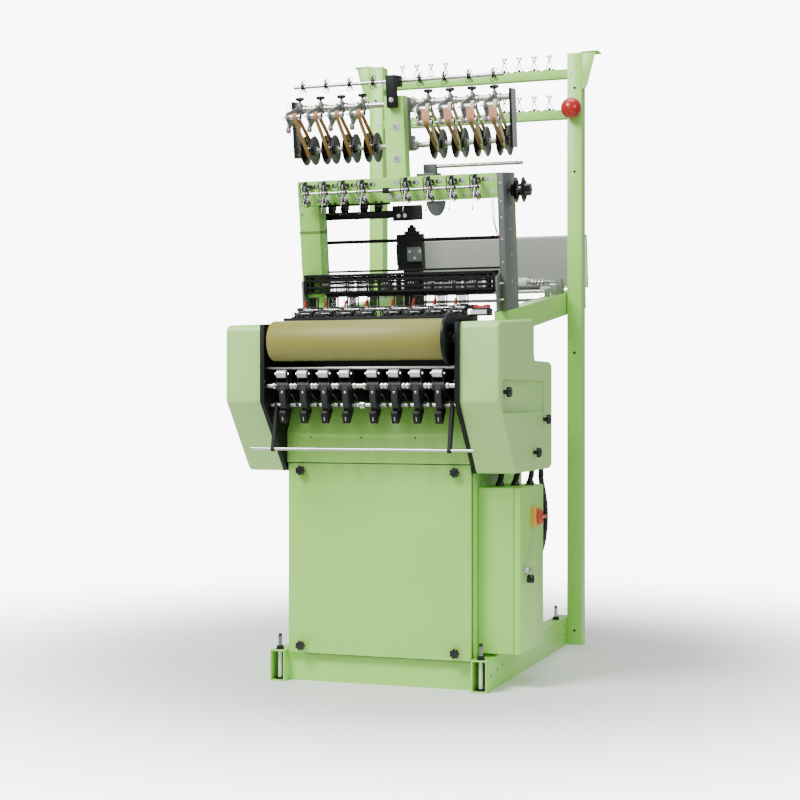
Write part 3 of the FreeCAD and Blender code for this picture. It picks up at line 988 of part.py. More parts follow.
# ---------------------------------------------------------------- electric box
def make_electric_box():
    x = "inner_half"
    case = box("case_block", x, "case_front", "case_low", "case_deep", "case_depth", "case_high - case_low")
    room = box("case_room", f"{x} + case_wall", "case_front + case_wall", "case_low + case_wall", "case_deep",
               "case_depth - 2 * case_wall", "case_high - case_low - 2 * case_wall")
    hinge_x = f"{x} + case_deep + door_deep / 2"
    hinge_y = "case_front + case_depth + door_pin + door_gap"
    lugs = []
    for index, z in enumerate(("case_low + 60", "case_high - 90")):
        foot = box(f"hinge_foot_{index}", f"{x} + case_deep - 16", "case_front + case_depth", z, "15.5",
                   "door_gap + 2 * door_pin", "14")
        web = box(f"hinge_web_{index}", f"{x} + case_deep - 4", f"{hinge_y} - door_pin", z, "door_deep / 2 + 4",
                  "2 * door_pin", "14")
        eye = rod(f"hinge_eye_{index}", "z", "door_pin", "14", hinge_x, hinge_y, z)
        lugs.append(cut(f"hinge_lug_bored_{index}", fuse(f"hinge_lug_{index}", foot, web, eye),
                        rod(f"hinge_lug_bore_{index}", "z", "door_pin * 0.6 + shaft_clearance", "20", hinge_x, hinge_y,
                            f"{z} - 3")))
    finish("electric_box", fuse("electric_box", cut("case_open", case, room), *lugs))

    door_x = f"{x} + case_deep + door_gap"
    door = box("door_block", door_x, "case_front", "case_low", "door_deep", "case_depth", "case_high - case_low")
    hollow = box("door_room", f"{door_x} - 1", "case_front + case_wall", "case_low + case_wall",
                 "door_deep - case_wall + 1", "case_depth - 2 * case_wall", "case_high - case_low - 2 * case_wall")
    knuckles = []
    for index, z in enumerate(("case_low + 60 + 14 + 0.5", "case_high - 90 + 14 + 0.5")):
        knuckles.append(rod(f"knuckle_{index}", "z", "door_pin", "14", hinge_x, hinge_y, z))
        knuckles.append(rod(f"hinge_pin_{index}", "z", "door_pin * 0.6", "30", hinge_x, hinge_y, f"{z} - 16"))
        knuckles.append(box(f"knuckle_web_{index}", f"{hinge_x} - 2", "case_front + case_depth - 1", z, "4",
                            "door_pin + door_gap + 1", "14"))
    face = f"{door_x} + door_deep"
    lock = rod("lock_barrel", "x", "lock_radius", "lock_stand + hasp_radius", face, "lock_y", "lock_z")
    tongue = rod("hasp_bar", "y", "hasp_radius", "hasp_length", f"{face} + lock_stand", "lock_y", "lock_z")
    door_whole = fuse("door_whole", cut("door_open", door, hollow), *knuckles, lock, tongue)
    plate_y = "case_front + case_depth * 0.55"
    plate = box("isolator_plate", face, f"{plate_y} - switch_plate / 2", "switch_z - switch_plate / 2",
                "switch_plate_thick", "switch_plate", "switch_plate")
    finish("box_door", group("box_door", door_whole, plate))
    knob = rod("isolator_knob", "x", "handle_radius", "handle_height * 0.55",
               f"{face} + switch_plate_thick + joint_gap", plate_y, "switch_z")
    grip = box("isolator_grip", f"{face} + switch_plate_thick + joint_gap", f"{plate_y} - handle_radius",
               "switch_z - handle_bar / 2", "handle_height", "2 * handle_radius", "handle_bar")
    finish("isolator_handle", fuse("isolator_handle", knob, grip))

    lock_x = f"{face} + lock_stand"
    lock_y = "lock_y + hasp_length - 8"
    crown = "lock_z + hasp_radius + joint_gap"
    body = box("padlock_body", f"{lock_x} - padlock_width / 2", f"{lock_y} - padlock_thick / 2",
               f"{crown} - shackle_drop - padlock_height", "padlock_width", "padlock_thick", "padlock_height")
    legs = [rod(f"shackle_leg_{side + 1}", "z", "shackle_wire", "shackle_drop + 2",
                f"{lock_x} + {side} * shackle_radius", lock_y, f"{crown} - shackle_drop - 1") for side in (-1, 1)]
    top = box("shackle_top", f"{lock_x} - shackle_radius - shackle_wire", f"{lock_y} - shackle_wire", crown,
              "2 * (shackle_radius + shackle_wire)", "2 * shackle_wire", "2 * shackle_wire")
    finish("padlock", fuse("padlock", body, *legs, top))


# ---------------------------------------------------------------- cables
# each point: outwards from the cabinet, back, up
CABLE_ROUTES = (
    ("cable_front", ((39, -400, 630), (39, -400, 646), (43, -397, 661), (43, -397, 677))),
    ("cable_middle", ((75, -345, 630), (75, -345, 646), (80, -342, 661), (80, -342, 677))),
    ("cable_rear", ((107, -280, 630), (107, -280, 646), (111, -276, 661), (111, -276, 677))),
    ("cable_side", ((107, -230, 372), (107, -203, 372), (110, -165, 390), (114, -130, 432), (117, -113, 490),
                    (117, -115, 548), (116, -138, 600), (114, -163, 640), (114, -163, 677))),
)


def corner_radius(before, point, after):
    """The arc that fits a bend: 0.45 of the shorter run over the tangent of half the turn."""
    first = point - before
    second = after - point
    turn = first.getAngle(second)
    return 0.45 * min(first.Length, second.Length) / math.tan(turn / 2), turn


def cable(label, points):
    """A round cable of straight runs joined by tangent arcs."""
    spots = [FreeCAD.Vector(value("inner_half") + out, back, up) for out, back, up in points]
    edges = []
    start = spots[0]
    for before, point, after in zip(spots, spots[1:], spots[2:]):
        radius, turn = corner_radius(before, point, after)
        print(f"{label}: radius {radius:.1f}")
        back = (before - point).normalize()
        ahead = (after - point).normalize()
        trim = radius * math.tan(turn / 2)
        bisector = (back + ahead).normalize()
        middle = point + bisector * (radius / math.cos(turn / 2) - radius)
        edges.append(Part.LineSegment(start, point + back * trim).toShape())
        edges.append(Part.Arc(point + back * trim, middle, point + ahead * trim).toShape())
        start = point + ahead * trim
    edges.append(Part.LineSegment(start, spots[-1]).toShape())
    path = Part.Wire(edges)
    ring_edge = Part.Circle(spots[0], spots[1] - spots[0], value("cable_radius")).toShape()
    solid = path.makePipeShell([Part.Wire([ring_edge])], True, False)
    expected = math.pi * value("cable_radius") ** 2 * path.Length
    print(f"{label}: volume over section times length {solid.Volume / expected:.4f}")
    tube_object = doc.addObject("Part::Feature", name_of(label))
    tube_object.Shape = solid
    return tube_object


def make_cables():
    finish("cables", group("cables", *[cable(label, points) for label, points in CABLE_ROUTES]))


for make in (make_base, make_rack, make_cabinet, make_sides, make_knobs, make_take_up, make_press_arms,
             make_heads, make_upper_frame, make_harness, make_top_rod, make_feeder,
             make_tension, make_rear, make_electric_box, make_cables):
    make()
doc.recompute()

problems = [thing.Label for thing in doc.Objects if "Invalid" in thing.State or "Error" in thing.State]
for part in FINISHED:
    if part.Shape.isNull() or not part.Shape.isValid():
        problems.append(part.Label)
if problems:
    raise SystemExit("failed: " + ", ".join(problems))

os.makedirs("parts", exist_ok=True)
for part in FINISHED:
    part.Shape.exportStep(f"parts/{part.Label}.step")
print(f"{len(FINISHED)} sub-parts written")
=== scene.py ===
"""Finish and detail of an eight-head narrow-fabric loom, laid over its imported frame.

Metres, in the frame's own axes: +Z up, +X to the operator's right, -Y to the operator.
"""
import json
import math

import bmesh
import bpy
from bpy.props import FloatProperty, FloatVectorProperty, PointerProperty
from mathutils import Matrix, Vector


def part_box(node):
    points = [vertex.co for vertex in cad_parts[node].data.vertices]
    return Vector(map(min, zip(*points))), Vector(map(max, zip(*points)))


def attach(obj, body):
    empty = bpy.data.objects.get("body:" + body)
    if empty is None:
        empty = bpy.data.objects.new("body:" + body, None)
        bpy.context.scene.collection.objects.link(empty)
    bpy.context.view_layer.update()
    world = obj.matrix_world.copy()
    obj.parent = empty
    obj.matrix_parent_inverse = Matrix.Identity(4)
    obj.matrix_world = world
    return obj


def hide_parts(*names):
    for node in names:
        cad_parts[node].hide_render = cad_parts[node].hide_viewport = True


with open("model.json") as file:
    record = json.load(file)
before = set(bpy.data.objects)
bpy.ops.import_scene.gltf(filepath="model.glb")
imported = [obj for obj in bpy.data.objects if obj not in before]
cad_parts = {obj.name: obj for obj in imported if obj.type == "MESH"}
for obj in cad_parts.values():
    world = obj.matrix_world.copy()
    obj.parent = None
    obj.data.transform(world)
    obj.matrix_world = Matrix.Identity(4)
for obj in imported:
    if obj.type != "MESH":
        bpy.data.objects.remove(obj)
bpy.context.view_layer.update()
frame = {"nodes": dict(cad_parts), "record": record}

bl_info = {
    "name": "Narrow-fabric loom finish",
    "version": (1, 0, 0),
    "blender": (4, 5, 0),
    "location": "3D View > Sidebar > Loom",
    "description": "Builds the paint, fittings and stage of an eight-head narrow-fabric loom",
    "category": "Object",
}

BODY_OF = {node: body for body, nodes in frame["record"]["behaviour"]["bodies"].items() for node in nodes}

# the leaning frame: its pivot and its turn about X
LEAN = math.radians(7.5)
PIVOT = Vector((0.0, -0.33, 1.195))
LEANING = Matrix.Translation(PIVOT) @ Matrix.Rotation(LEAN, 4, "X")
UPRIGHT = Matrix.Identity(4)

# where the cross shafts of the take-up and the heads run, as (y, z)
DRUM_AXIS = (-0.735, 1.089)
ARM_SHAFT = (-0.74, 0.949)
LEVER_SHAFT = (-0.715, 0.89)
ROLLER_AXIS = (-0.754, 0.986)
LATCH_AXIS = (-0.538, 1.196)

HEADS = [side * (0.045 + 0.07 * index) for side in (-1, 1) for index in range(4)]
HEADS_IN_ORDER = sorted(HEADS)     # as the weft needles are numbered, from the left


# ---------------------------------------------------------------- user's sizes and colours
class LoomStage(bpy.types.PropertyGroup):
    """The camera, the floor and the lights."""

    lens: FloatProperty(name="Lens", description="Focal length of the camera", default=72.9, unit="CAMERA")
    height: FloatProperty(name="Camera height", description="Height of the camera above the floor",
                          default=0.905, unit="LENGTH")
    yaw: FloatProperty(name="Yaw", description="How far the camera looks past the machine's middle",
                       default=math.radians(19.2), subtype="ANGLE")
    fill: FloatProperty(name="Fill", description="Even light from all round", default=0.4, min=0)
    backdrop: FloatProperty(name="Backdrop", description="How bright the backdrop itself looks",
                            default=9.0, min=0)
    floor: FloatVectorProperty(name="Floor", description="Colour of the floor and the backdrop",
                               subtype="COLOR", size=3, default=(0.93, 0.93, 0.93), min=0, max=1)


class LoomPaint(bpy.types.PropertyGroup):
    """The colours of the finishes."""

    green: FloatVectorProperty(name="Machine green", description="Sprayed enamel on frames and covers",
                               subtype="COLOR", size=3, default=(0.345, 0.74, 0.135), min=0, max=1)
    cover: FloatVectorProperty(name="Cover green", description="Paler enamel on the two side covers",
                               subtype="COLOR", size=3, default=(0.41, 0.72, 0.22), min=0, max=1)
    drum: FloatVectorProperty(name="Drum", description="Rubber sleeve of the take-up drum",
                              subtype="COLOR", size=3, default=(0.235, 0.225, 0.04), min=0, max=1)
    belt: FloatVectorProperty(name="Belt", description="Woven feeder belts",
                              subtype="COLOR", size=3, default=(0.4, 0.19, 0.055), min=0, max=1)
    red: FloatVectorProperty(name="Red", description="Lamp, handles and button",
                             subtype="COLOR", size=3, default=(0.45, 0.01, 0.01), min=0, max=1)


class LoomTrim(bpy.types.PropertyGroup):
    """Small sizes that the pieces share."""

    edge: FloatProperty(name="Edge break", description="Radius left on folded and machined edges",
                        default=0.0012, min=0.0002, max=0.01, unit="LENGTH")


# ---------------------------------------------------------------- materials
class Socket:
    """A node's output or a number, with arithmetic that adds Math nodes."""

    def __init__(self, maker, link):
        self.maker = maker
        self.link = link

    def _math(self, operation, *values):
        return self.maker.add("ShaderNodeMath", {"operation": operation}, dict(enumerate(values)))

    def __add__(self, other):
        return self._math("ADD", self, other)

    def __radd__(self, other):
        return self._math("ADD", other, self)

    def __sub__(self, other):
        return self._math("SUBTRACT", self, other)

    def __rsub__(self, other):
        return self._math("SUBTRACT", other, self)

    def __mul__(self, other):
        return self._math("MULTIPLY", self, other)

    def __rmul__(self, other):
        return self._math("MULTIPLY", other, self)

    def __gt__(self, other):
        return self._math("GREATER_THAN", self, other)


class Finish:
    """A material under construction: its Principled shader and a method that adds any node."""

    def __init__(self, name, **settings):
        self.material = bpy.data.materials.new(name)
        self.material.use_nodes = True
        self.tree = self.material.node_tree
        self.shader = self.tree.nodes["Principled BSDF"]
        for socket, value in settings.items():
            self.shader.inputs[socket.replace("_", " ")].default_value = value

    def add(self, kind, settings=None, inputs=None, output=0):
        """A node of any kind, its settings first and then its sockets, as values or links."""
        node = self.tree.nodes.new(kind)
        for name, value in (settings or {}).items():
            if name == "stops":
                self._stops(node, value)
            else:
                setattr(node, name, value)
        for key, value in (inputs or {}).items():
            if isinstance(value, Socket):
                self.tree.links.new(value.link, node.inputs[key])
            else:
                node.inputs[key].default_value = value
        return Socket(self, node.outputs[output])

    def _stops(self, node, stops):
        """A colour ramp's stops: (place, colour) pairs."""
        ramp = node.color_ramp
        while len(ramp.elements) < len(stops):
            ramp.elements.new(0.5)
        for element, (place, colour) in zip(ramp.elements, stops):
            element.position = place
            element.color = colour

    def feed(self, socket, value):
        """Links what varies over the surface to a socket of the shader."""
        self.tree.links.new(value.link, self.shader.inputs[socket])

    def place(self):
        return self.add("ShaderNodeTexCoord", output="Object")

    def noise(self, scale, detail=4.0, rough=0.55, stretch=None):
        """Noise from 0 to 1 on the piece's own coordinates."""
        where = self.place()
        if stretch:
            where = self.add("ShaderNodeMapping", None, {"Vector": where, "Scale": stretch})
        return self.add("ShaderNodeTexNoise", None,
                        {"Vector": where, "Scale": scale, "Detail": detail, "Roughness": rough})

    def waves(self, scale, axis, distortion=0.0):
        """Straight bands across an axis."""
        return self.add("ShaderNodeTexWave", {"bands_direction": axis},
                        {"Vector": self.place(), "Scale": scale, "Distortion": distortion,
                         "Detail": 2.0}, output="Fac")

    def shades(self, factor, dark, light):
        """A colour between two by a factor."""
        return self.add("ShaderNodeMix", {"data_type": "RGBA"},
                        {"Factor": factor, 6: (*dark, 1.0), 7: (*light, 1.0)}, output=2)

    def between(self, factor, low, high):
        """A number from low to high as the factor goes from 0 to 1."""
        return factor * (high - low) + low

    def bump(self, height, depth, strength=1.0):
        relief = self.add("ShaderNodeBump", None,
                          {"Height": height, "Distance": depth, "Strength": strength})
        self.feed("Normal", relief)


def tint(colour, amount):
    """A colour made darker or lighter by a factor."""
    return tuple(min(1.0, channel * amount) for channel in colour)


def enamel(name, colour, rough=0.34):
    """Sprayed enamel: orange peel, a slight drift of tone, and dust in the low spots."""
    paint = Finish(name, Coat_Weight=0.12, Coat_Roughness=0.12, Specular_IOR_Level=0.35)
    drift = paint.noise(3.0, 3.0)
    dust = paint.noise(40.0, 6.0, 0.7)
    paint.feed("Base Color",
               paint.shades(drift * 0.75 + dust * 0.25, tint(colour, 0.93), tint(colour, 1.05)))
    paint.feed("Roughness", paint.between(dust, rough - 0.06, rough + 0.1))
    peel = paint.noise(420.0, 2.0, 0.5)
    paint.bump(peel + paint.noise(90.0, 2.0) * 0.6, 0.0004, 0.22)
    return paint.material


def plain_metal(name, colour, rough, grain, stretch, worn=0.08, metal=1.0):
    """Machined metal with a drawn or turned grain along one way."""
    stock = Finish(name, Metallic=metal)
    lines = stock.noise(grain, 5.0, 0.6, stretch)
    cloud = stock.noise(14.0, 4.0)
    stock.feed("Base Color",
               stock.shades(lines * 0.55 + cloud * 0.45, tint(colour, 1 - 2.4 * worn), colour))
    stock.feed("Roughness", stock.between(lines, rough - 0.06, rough + 0.14))
    stock.bump(lines, 0.00012, 0.5)
    return stock.material


def black_oxide(name, colour=(0.0075, 0.008, 0.009), rough=0.42):
    """Blacked or black-painted steel, a little browner where it is handled."""
    stock = Finish(name, Metallic=0.1, Specular_IOR_Level=0.25)
    cloud = stock.noise(24.0, 5.0, 0.6)
    stock.feed("Base Color", stock.shades(cloud, tint(colour, 0.7), tint(colour, 2.1)))
    stock.feed("Roughness", stock.between(cloud, rough - 0.1, rough + 0.14))
    stock.bump(stock.noise(600.0, 3.0), 0.0002, 0.25)
    return stock.material


def cast_surface(name, colour, metal=0.35):
    """A cast surface with a sand texture under paint."""
    stock = Finish(name, Metallic=metal)
    grain = stock.noise(260.0, 6.0, 0.65)
    cloud = stock.noise(9.0, 4.0)
    stock.feed("Base Color", stock.shades(cloud * 0.7 + grain * 0.3, tint(colour, 0.72), tint(colour, 1.2)))
    stock.feed("Roughness", stock.between(grain, 0.42, 0.66))
    stock.bump(grain, 0.0006, 0.5)
    return stock.material


def moulded(name, colour, rough=0.3, coat=0.0):
    """Moulded plastic with a fine spark texture."""
    stock = Finish(name, Coat_Weight=coat, Coat_Roughness=0.06)
    cloud = stock.noise(18.0, 3.0)
    stock.feed("Base Color", stock.shades(cloud, tint(colour, 0.85), tint(colour, 1.12)))
    stock.feed("Roughness", stock.between(stock.noise(120.0, 3.0), rough - 0.05, rough + 0.09))
    stock.bump(stock.noise(700.0, 3.0), 0.0002, 0.3)
    return stock.material


def sleeve_rubber(name, colour):
    """The drum's ground rubber sleeve: fine rings, matt speckle and a polished middle."""
    stock = Finish(name, Specular_IOR_Level=0.5, Sheen_Weight=0.1)
    speck = stock.noise(900.0, 4.0, 0.7)
    band = stock.noise(5.0, 3.0, 0.5, (1.0, 0.05, 0.05))
    rings = stock.waves(190.0, "X")
    stock.feed("Base Color", stock.shades(speck * 0.35 + band * 0.5 + rings * 0.15, tint(colour, 0.84),
                                          tint(colour, 1.16)))
    stock.feed("Roughness", stock.between(speck * 0.5 + band * 0.5, 0.4, 0.58))
    stock.bump(speck * 0.7 + rings * 0.5, 0.00025, 0.4)
    return stock.material


def woven_belt(name, colour):
    """A flat woven belt: cross threads and darker edges of wear."""
    stock = Finish(name, Sheen_Weight=0.25, Specular_IOR_Level=0.35)
    weft = stock.waves(330.0, "Z", 0.4)
    warp = stock.waves(420.0, "X", 0.3)
    cloud = stock.noise(30.0, 4.0)
    stock.feed("Base Color", stock.shades(weft * 0.35 + warp * 0.25 + cloud * 0.4, tint(colour, 0.62),
                                          tint(colour, 1.45)))
    stock.feed("Roughness", stock.between(cloud, 0.5, 0.72))
    stock.bump(weft * 0.6 + warp * 0.4, 0.0004, 0.6)
    return stock.material


MATERIALS = {}


def make_materials(paint):
    """Every finish on the machine, by its plain name."""
    MATERIALS.update({
        "green": enamel("machine_green_enamel", paint.green),
        "cover": enamel("cover_green_enamel", paint.cover, 0.38),
        "grey": enamel("grey_green_enamel", (0.115, 0.13, 0.122), 0.4),
        "sheet": enamel("light_grey_enamel", (0.3, 0.31, 0.29), 0.42),
        "black": black_oxide("blacked_steel"),
        # dark green for the cabinet's seams; on the column's joint band it is painted shadow
        "seam": enamel("seam_and_shadow_green_enamel", tint(paint.green, 0.3), 0.5),
        # near-black plate finish for black parts; also painted shade behind the breast shafts and inside
        # the beam slots
        "dark": black_oxide("dark_plate_and_painted_shade", (0.0045, 0.0045, 0.005), 0.5),
        "steel": plain_metal("drawn_steel", (0.66, 0.66, 0.65), 0.24, 60.0, (1.0, 14.0, 14.0)),
        "turned": plain_metal("turned_steel", (0.62, 0.62, 0.61), 0.27, 70.0, (22.0, 1.0, 1.0)),
        "wire": plain_metal("spring_wire", (0.36, 0.36, 0.35), 0.28, 200.0, (1.0, 1.0, 5.0)),
        "brass": plain_metal("brass", (0.6, 0.42, 0.16), 0.3, 90.0, (1.0, 8.0, 8.0)),
        "cast": cast_surface("cast_clamp_metal", (0.3, 0.31, 0.3), 0.75),
        "bent": plain_metal("black_wire", (0.035, 0.036, 0.038), 0.3, 90.0, (1.0, 1.0, 6.0)),
        "arm": cast_surface("press_arm_casting", (0.022, 0.023, 0.024)),
        "bed": enamel("bed_green_enamel", tint(paint.green, 0.72), 0.45),
        "disc": black_oxide("blued_disc", (0.003, 0.0036, 0.006), 0.4),
        "satin": plain_metal("satin_sleeve", (0.7, 0.7, 0.69), 0.34, 70.0, (22.0, 1.0, 1.0), 0.05, 0.55),
        "drum": sleeve_rubber("drum_sleeve", paint.drum),
        "belt": woven_belt("feeder_belt_web", paint.belt),
        "belt_dark": woven_belt("feeder_belt_dark", tint(paint.belt, 0.62)),
        "tape": woven_belt("pink_tape", (0.6, 0.27, 0.15)),
        "cream": woven_belt("cream_tape", (0.8, 0.66, 0.4)),
        # painted shade: a near-black finish for gaps, holes, slots and vents where only shade is seen
        "painted_shade": moulded("painted_shade_gap", (0.006, 0.007, 0.006), 0.7),
        "pale": enamel("pale_trim_enamel", (0.62, 0.64, 0.62), 0.35),
        "gloss": moulded("black_lacquer", (0.003, 0.0031, 0.0033), 0.16, 0.25),
        "knob": moulded("black_knob", (0.0045, 0.0048, 0.005), 0.3),
        "rubber": moulded("cable_sheath", (0.0045, 0.0045, 0.005), 0.5),
        "red": moulded("red_lacquer", paint.red, 0.22, 0.25),
        "handle": moulded("red_handle", (0.6, 0.06, 0.04), 0.32),
        "yellow": moulded("yellow_plate", (0.8, 0.46, 0.07), 0.34),
        "white": moulded("ceramic_white", (0.75, 0.75, 0.72), 0.2, 0.3),
        "roller": moulded("cream_roller", (0.68, 0.68, 0.65), 0.36),
    })


def settle(name, mesh, body, finish, edge=0.0, smooth=35.0, replaces=(), places=(UPRIGHT,)):
    """Turns a bmesh into a piece: copies at places, broken edges, outward faces, finish and body."""
    if edge:
        sharp = [e for e in mesh.edges
                 if len(e.link_faces) == 2 and e.calc_face_angle(0) > math.radians(28)]
        if sharp:
            bmesh.ops.bevel(mesh, geom=sharp, offset=edge, offset_type="OFFSET", segments=2, profile=0.5,
                            affect="EDGES", clamp_overlap=True, material=-1)
    bmesh.ops.recalc_face_normals(mesh, faces=mesh.faces)
    data = bpy.data.meshes.new(name)
    mesh.to_mesh(data)
    mesh.free()
    if len(places) > 1 or places[0] != UPRIGHT:
        data = repeated(name, data, places)
    for face in data.polygons:
        face.use_smooth = True
    data.set_sharp_from_angle(angle=math.radians(smooth))
    data.materials.append(MATERIALS[finish])
    shown = bpy.data.objects.new(name, data)
    bpy.context.collection.objects.link(shown)
    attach(shown, body)
    if replaces:
        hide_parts(*replaces)
    return shown


def piece(name, body, finish, *shapes, **options):
    """A piece of several shapes, each given as its function and what that takes after the mesh."""
    mesh = bmesh.new()
    for shape, *values in shapes:
        shape(mesh, *values)
    return settle(name, mesh, body, finish, **options)


def repeated(name, data, places):
    """One mesh that holds a copy of another at each place."""
    whole = bmesh.new()
    for place in places:
        start = len(whole.verts)
        whole.from_mesh(data)
        whole.verts.ensure_lookup_table()
        bmesh.ops.transform(whole, matrix=place, verts=whole.verts[start:])
    joined = bpy.data.meshes.new(name)
    whole.to_mesh(joined)
    whole.free()
    return joined


def dressed(node, finish, edge=None, smooth=32.0):
    """A CAD node's own shape, merged and with its edges broken, so that they catch the light."""
    trim = bpy.context.scene.loom_trim
    mesh = bmesh.new()
    mesh.from_mesh(frame["nodes"][node].data)
    bmesh.ops.remove_doubles(mesh, verts=mesh.verts, dist=1e-6)
    bmesh.ops.dissolve_limit(mesh, angle_limit=math.radians(1.0), verts=mesh.verts, edges=mesh.edges)
    return settle(f"{node}_finish", mesh, BODY_OF[node], finish,
                  trim.edge if edge is None else edge, smooth, replaces=(node,))


def block(mesh, *corners):
    """Boxes added to a bmesh, each between two corners in turn."""
    for low, high in zip(corners[::2], corners[1::2]):
        low, high = Vector(low), Vector(high)
        made = bmesh.ops.create_cube(mesh, size=1.0)
        span = Matrix.Diagonal((*(high - low), 1.0))
        bmesh.ops.transform(mesh, matrix=Matrix.Translation((low + high) / 2) @ span, verts=made["verts"])


AXES = {"x": Matrix.Rotation(math.radians(90), 4, "Y"), "y": Matrix.Rotation(math.radians(-90), 4, "X"),
        "z": Matrix.Identity(4)}


def turned(mesh, axis, start, outline, sides=32):
    """A solid of revolution: (distance, radius) pairs along an axis from a start point."""
    made = []
    previous = None
    for distance, radius in outline:
        ring = bmesh.ops.create_circle(mesh, cap_ends=False, radius=max(radius, 1e-5),
                                       segments=sides)["verts"]
        bmesh.ops.translate(mesh, verts=ring, vec=(0, 0, distance))
        edges = list({edge for vert in ring for edge in vert.link_edges})
        if previous:
            bmesh.ops.bridge_loops(mesh, edges=previous + edges)
        else:
            bmesh.ops.contextual_create(mesh, geom=edges)
        previous = edges
        made.extend(ring)
    bmesh.ops.contextual_create(mesh, geom=previous)
    bmesh.ops.transform(mesh, matrix=Matrix.Translation(start) @ AXES[axis], verts=made)
    return made


def wire_along(mesh, points, radius, sides=8):
    """A bent wire through points, with mitred corners."""
    points = [Vector(point) for point in points]
    previous = None
    up = Vector((0.31, 0.57, 0.76))
    for index, point in enumerate(points):
        before = points[max(index - 1, 0)]
        after = points[min(index + 1, len(points) - 1)]
        along = (after - before).normalized()
        side = along.cross(up).normalized()
        top = side.cross(along).normalized()
        ring = bmesh.ops.create_circle(mesh, cap_ends=False, radius=radius, segments=sides)["verts"]
        turn = Matrix((side, top, along)).transposed().to_4x4()
        bmesh.ops.transform(mesh, matrix=Matrix.Translation(point) @ turn, verts=ring)
        edges = list({edge for vert in ring for edge in vert.link_edges})
        if previous:
            bmesh.ops.bridge_loops(mesh, edges=previous + edges)
        else:
            bmesh.ops.contextual_create(mesh, geom=edges)
        previous = edges
    bmesh.ops.contextual_create(mesh, geom=previous)


def arc_points(centre, radius, start, end, count, plane="xz"):
    """Points on an arc, angles in degrees."""
    spots = []
    for index in range(count):
        angle = math.radians(start + (end - start) * index / (count - 1))
        a, b = radius * math.cos(angle), radius * math.sin(angle)
        shift = {"xz": (a, 0, b), "xy": (a, b, 0), "yz": (0, a, b)}[plane]
        spots.append(Vector(centre) + Vector(shift))
    return spots


def coil_points(start, end, radius, turns, per_turn=9):
    """Points on a helix between two points."""
    start, end = Vector(start), Vector(end)
    along = end - start
    side = along.orthogonal().normalized()
    top = along.normalized().cross(side)
    count = int(turns * per_turn)
    spots = []
    for index in range(count + 1):
        angle = 2 * math.pi * index / per_turn
        spots.append(start + along * index / count
                     + side * radius * math.cos(angle) + top * radius * math.sin(angle))
    return spots


def prism(mesh, points, axis, start, end):
    """A plate with a straight-sided outline: points on the two other axes, from start to end."""
    order = {"x": lambda a, b, t: (t, a, b), "y": lambda a, b, t: (a, t, b),
             "z": lambda a, b, t: (a, b, t)}[axis]
    verts = [mesh.verts.new(order(a, b, start)) for a, b in points]
    face = mesh.faces.new(verts)
    grown = bmesh.ops.extrude_face_region(mesh, geom=[face])
    moved = [item for item in grown["geom"] if isinstance(item, bmesh.types.BMVert)]
    shift = Vector(order(0, 0, end - start))
    bmesh.ops.translate(mesh, verts=moved, vec=shift)
    return verts + moved


def hex_head(mesh, axis, centre, across, height, sides=6):
    """A screw head: a chamfered hexagon or a round head, standing along an axis."""
    radius = across / 2
    outline = ((0, radius), (height * 0.75, radius), (height, radius * 0.82))
    return turned(mesh, axis, centre, outline, sides)


def at(x=0.0, y=0.0, z=0.0, base=UPRIGHT):
    """A place in the upright or the leaning frame."""
    return base @ Matrix.Translation((x, y, z))


def middle(node, x=0.5, y=0.5, z=0.5):
    """A point of a CAD node's box, by how far across, back and up it lies."""
    low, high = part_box(node)
    return Vector(low[i] + (high[i] - low[i]) * share for i, share in enumerate((x, y, z)))


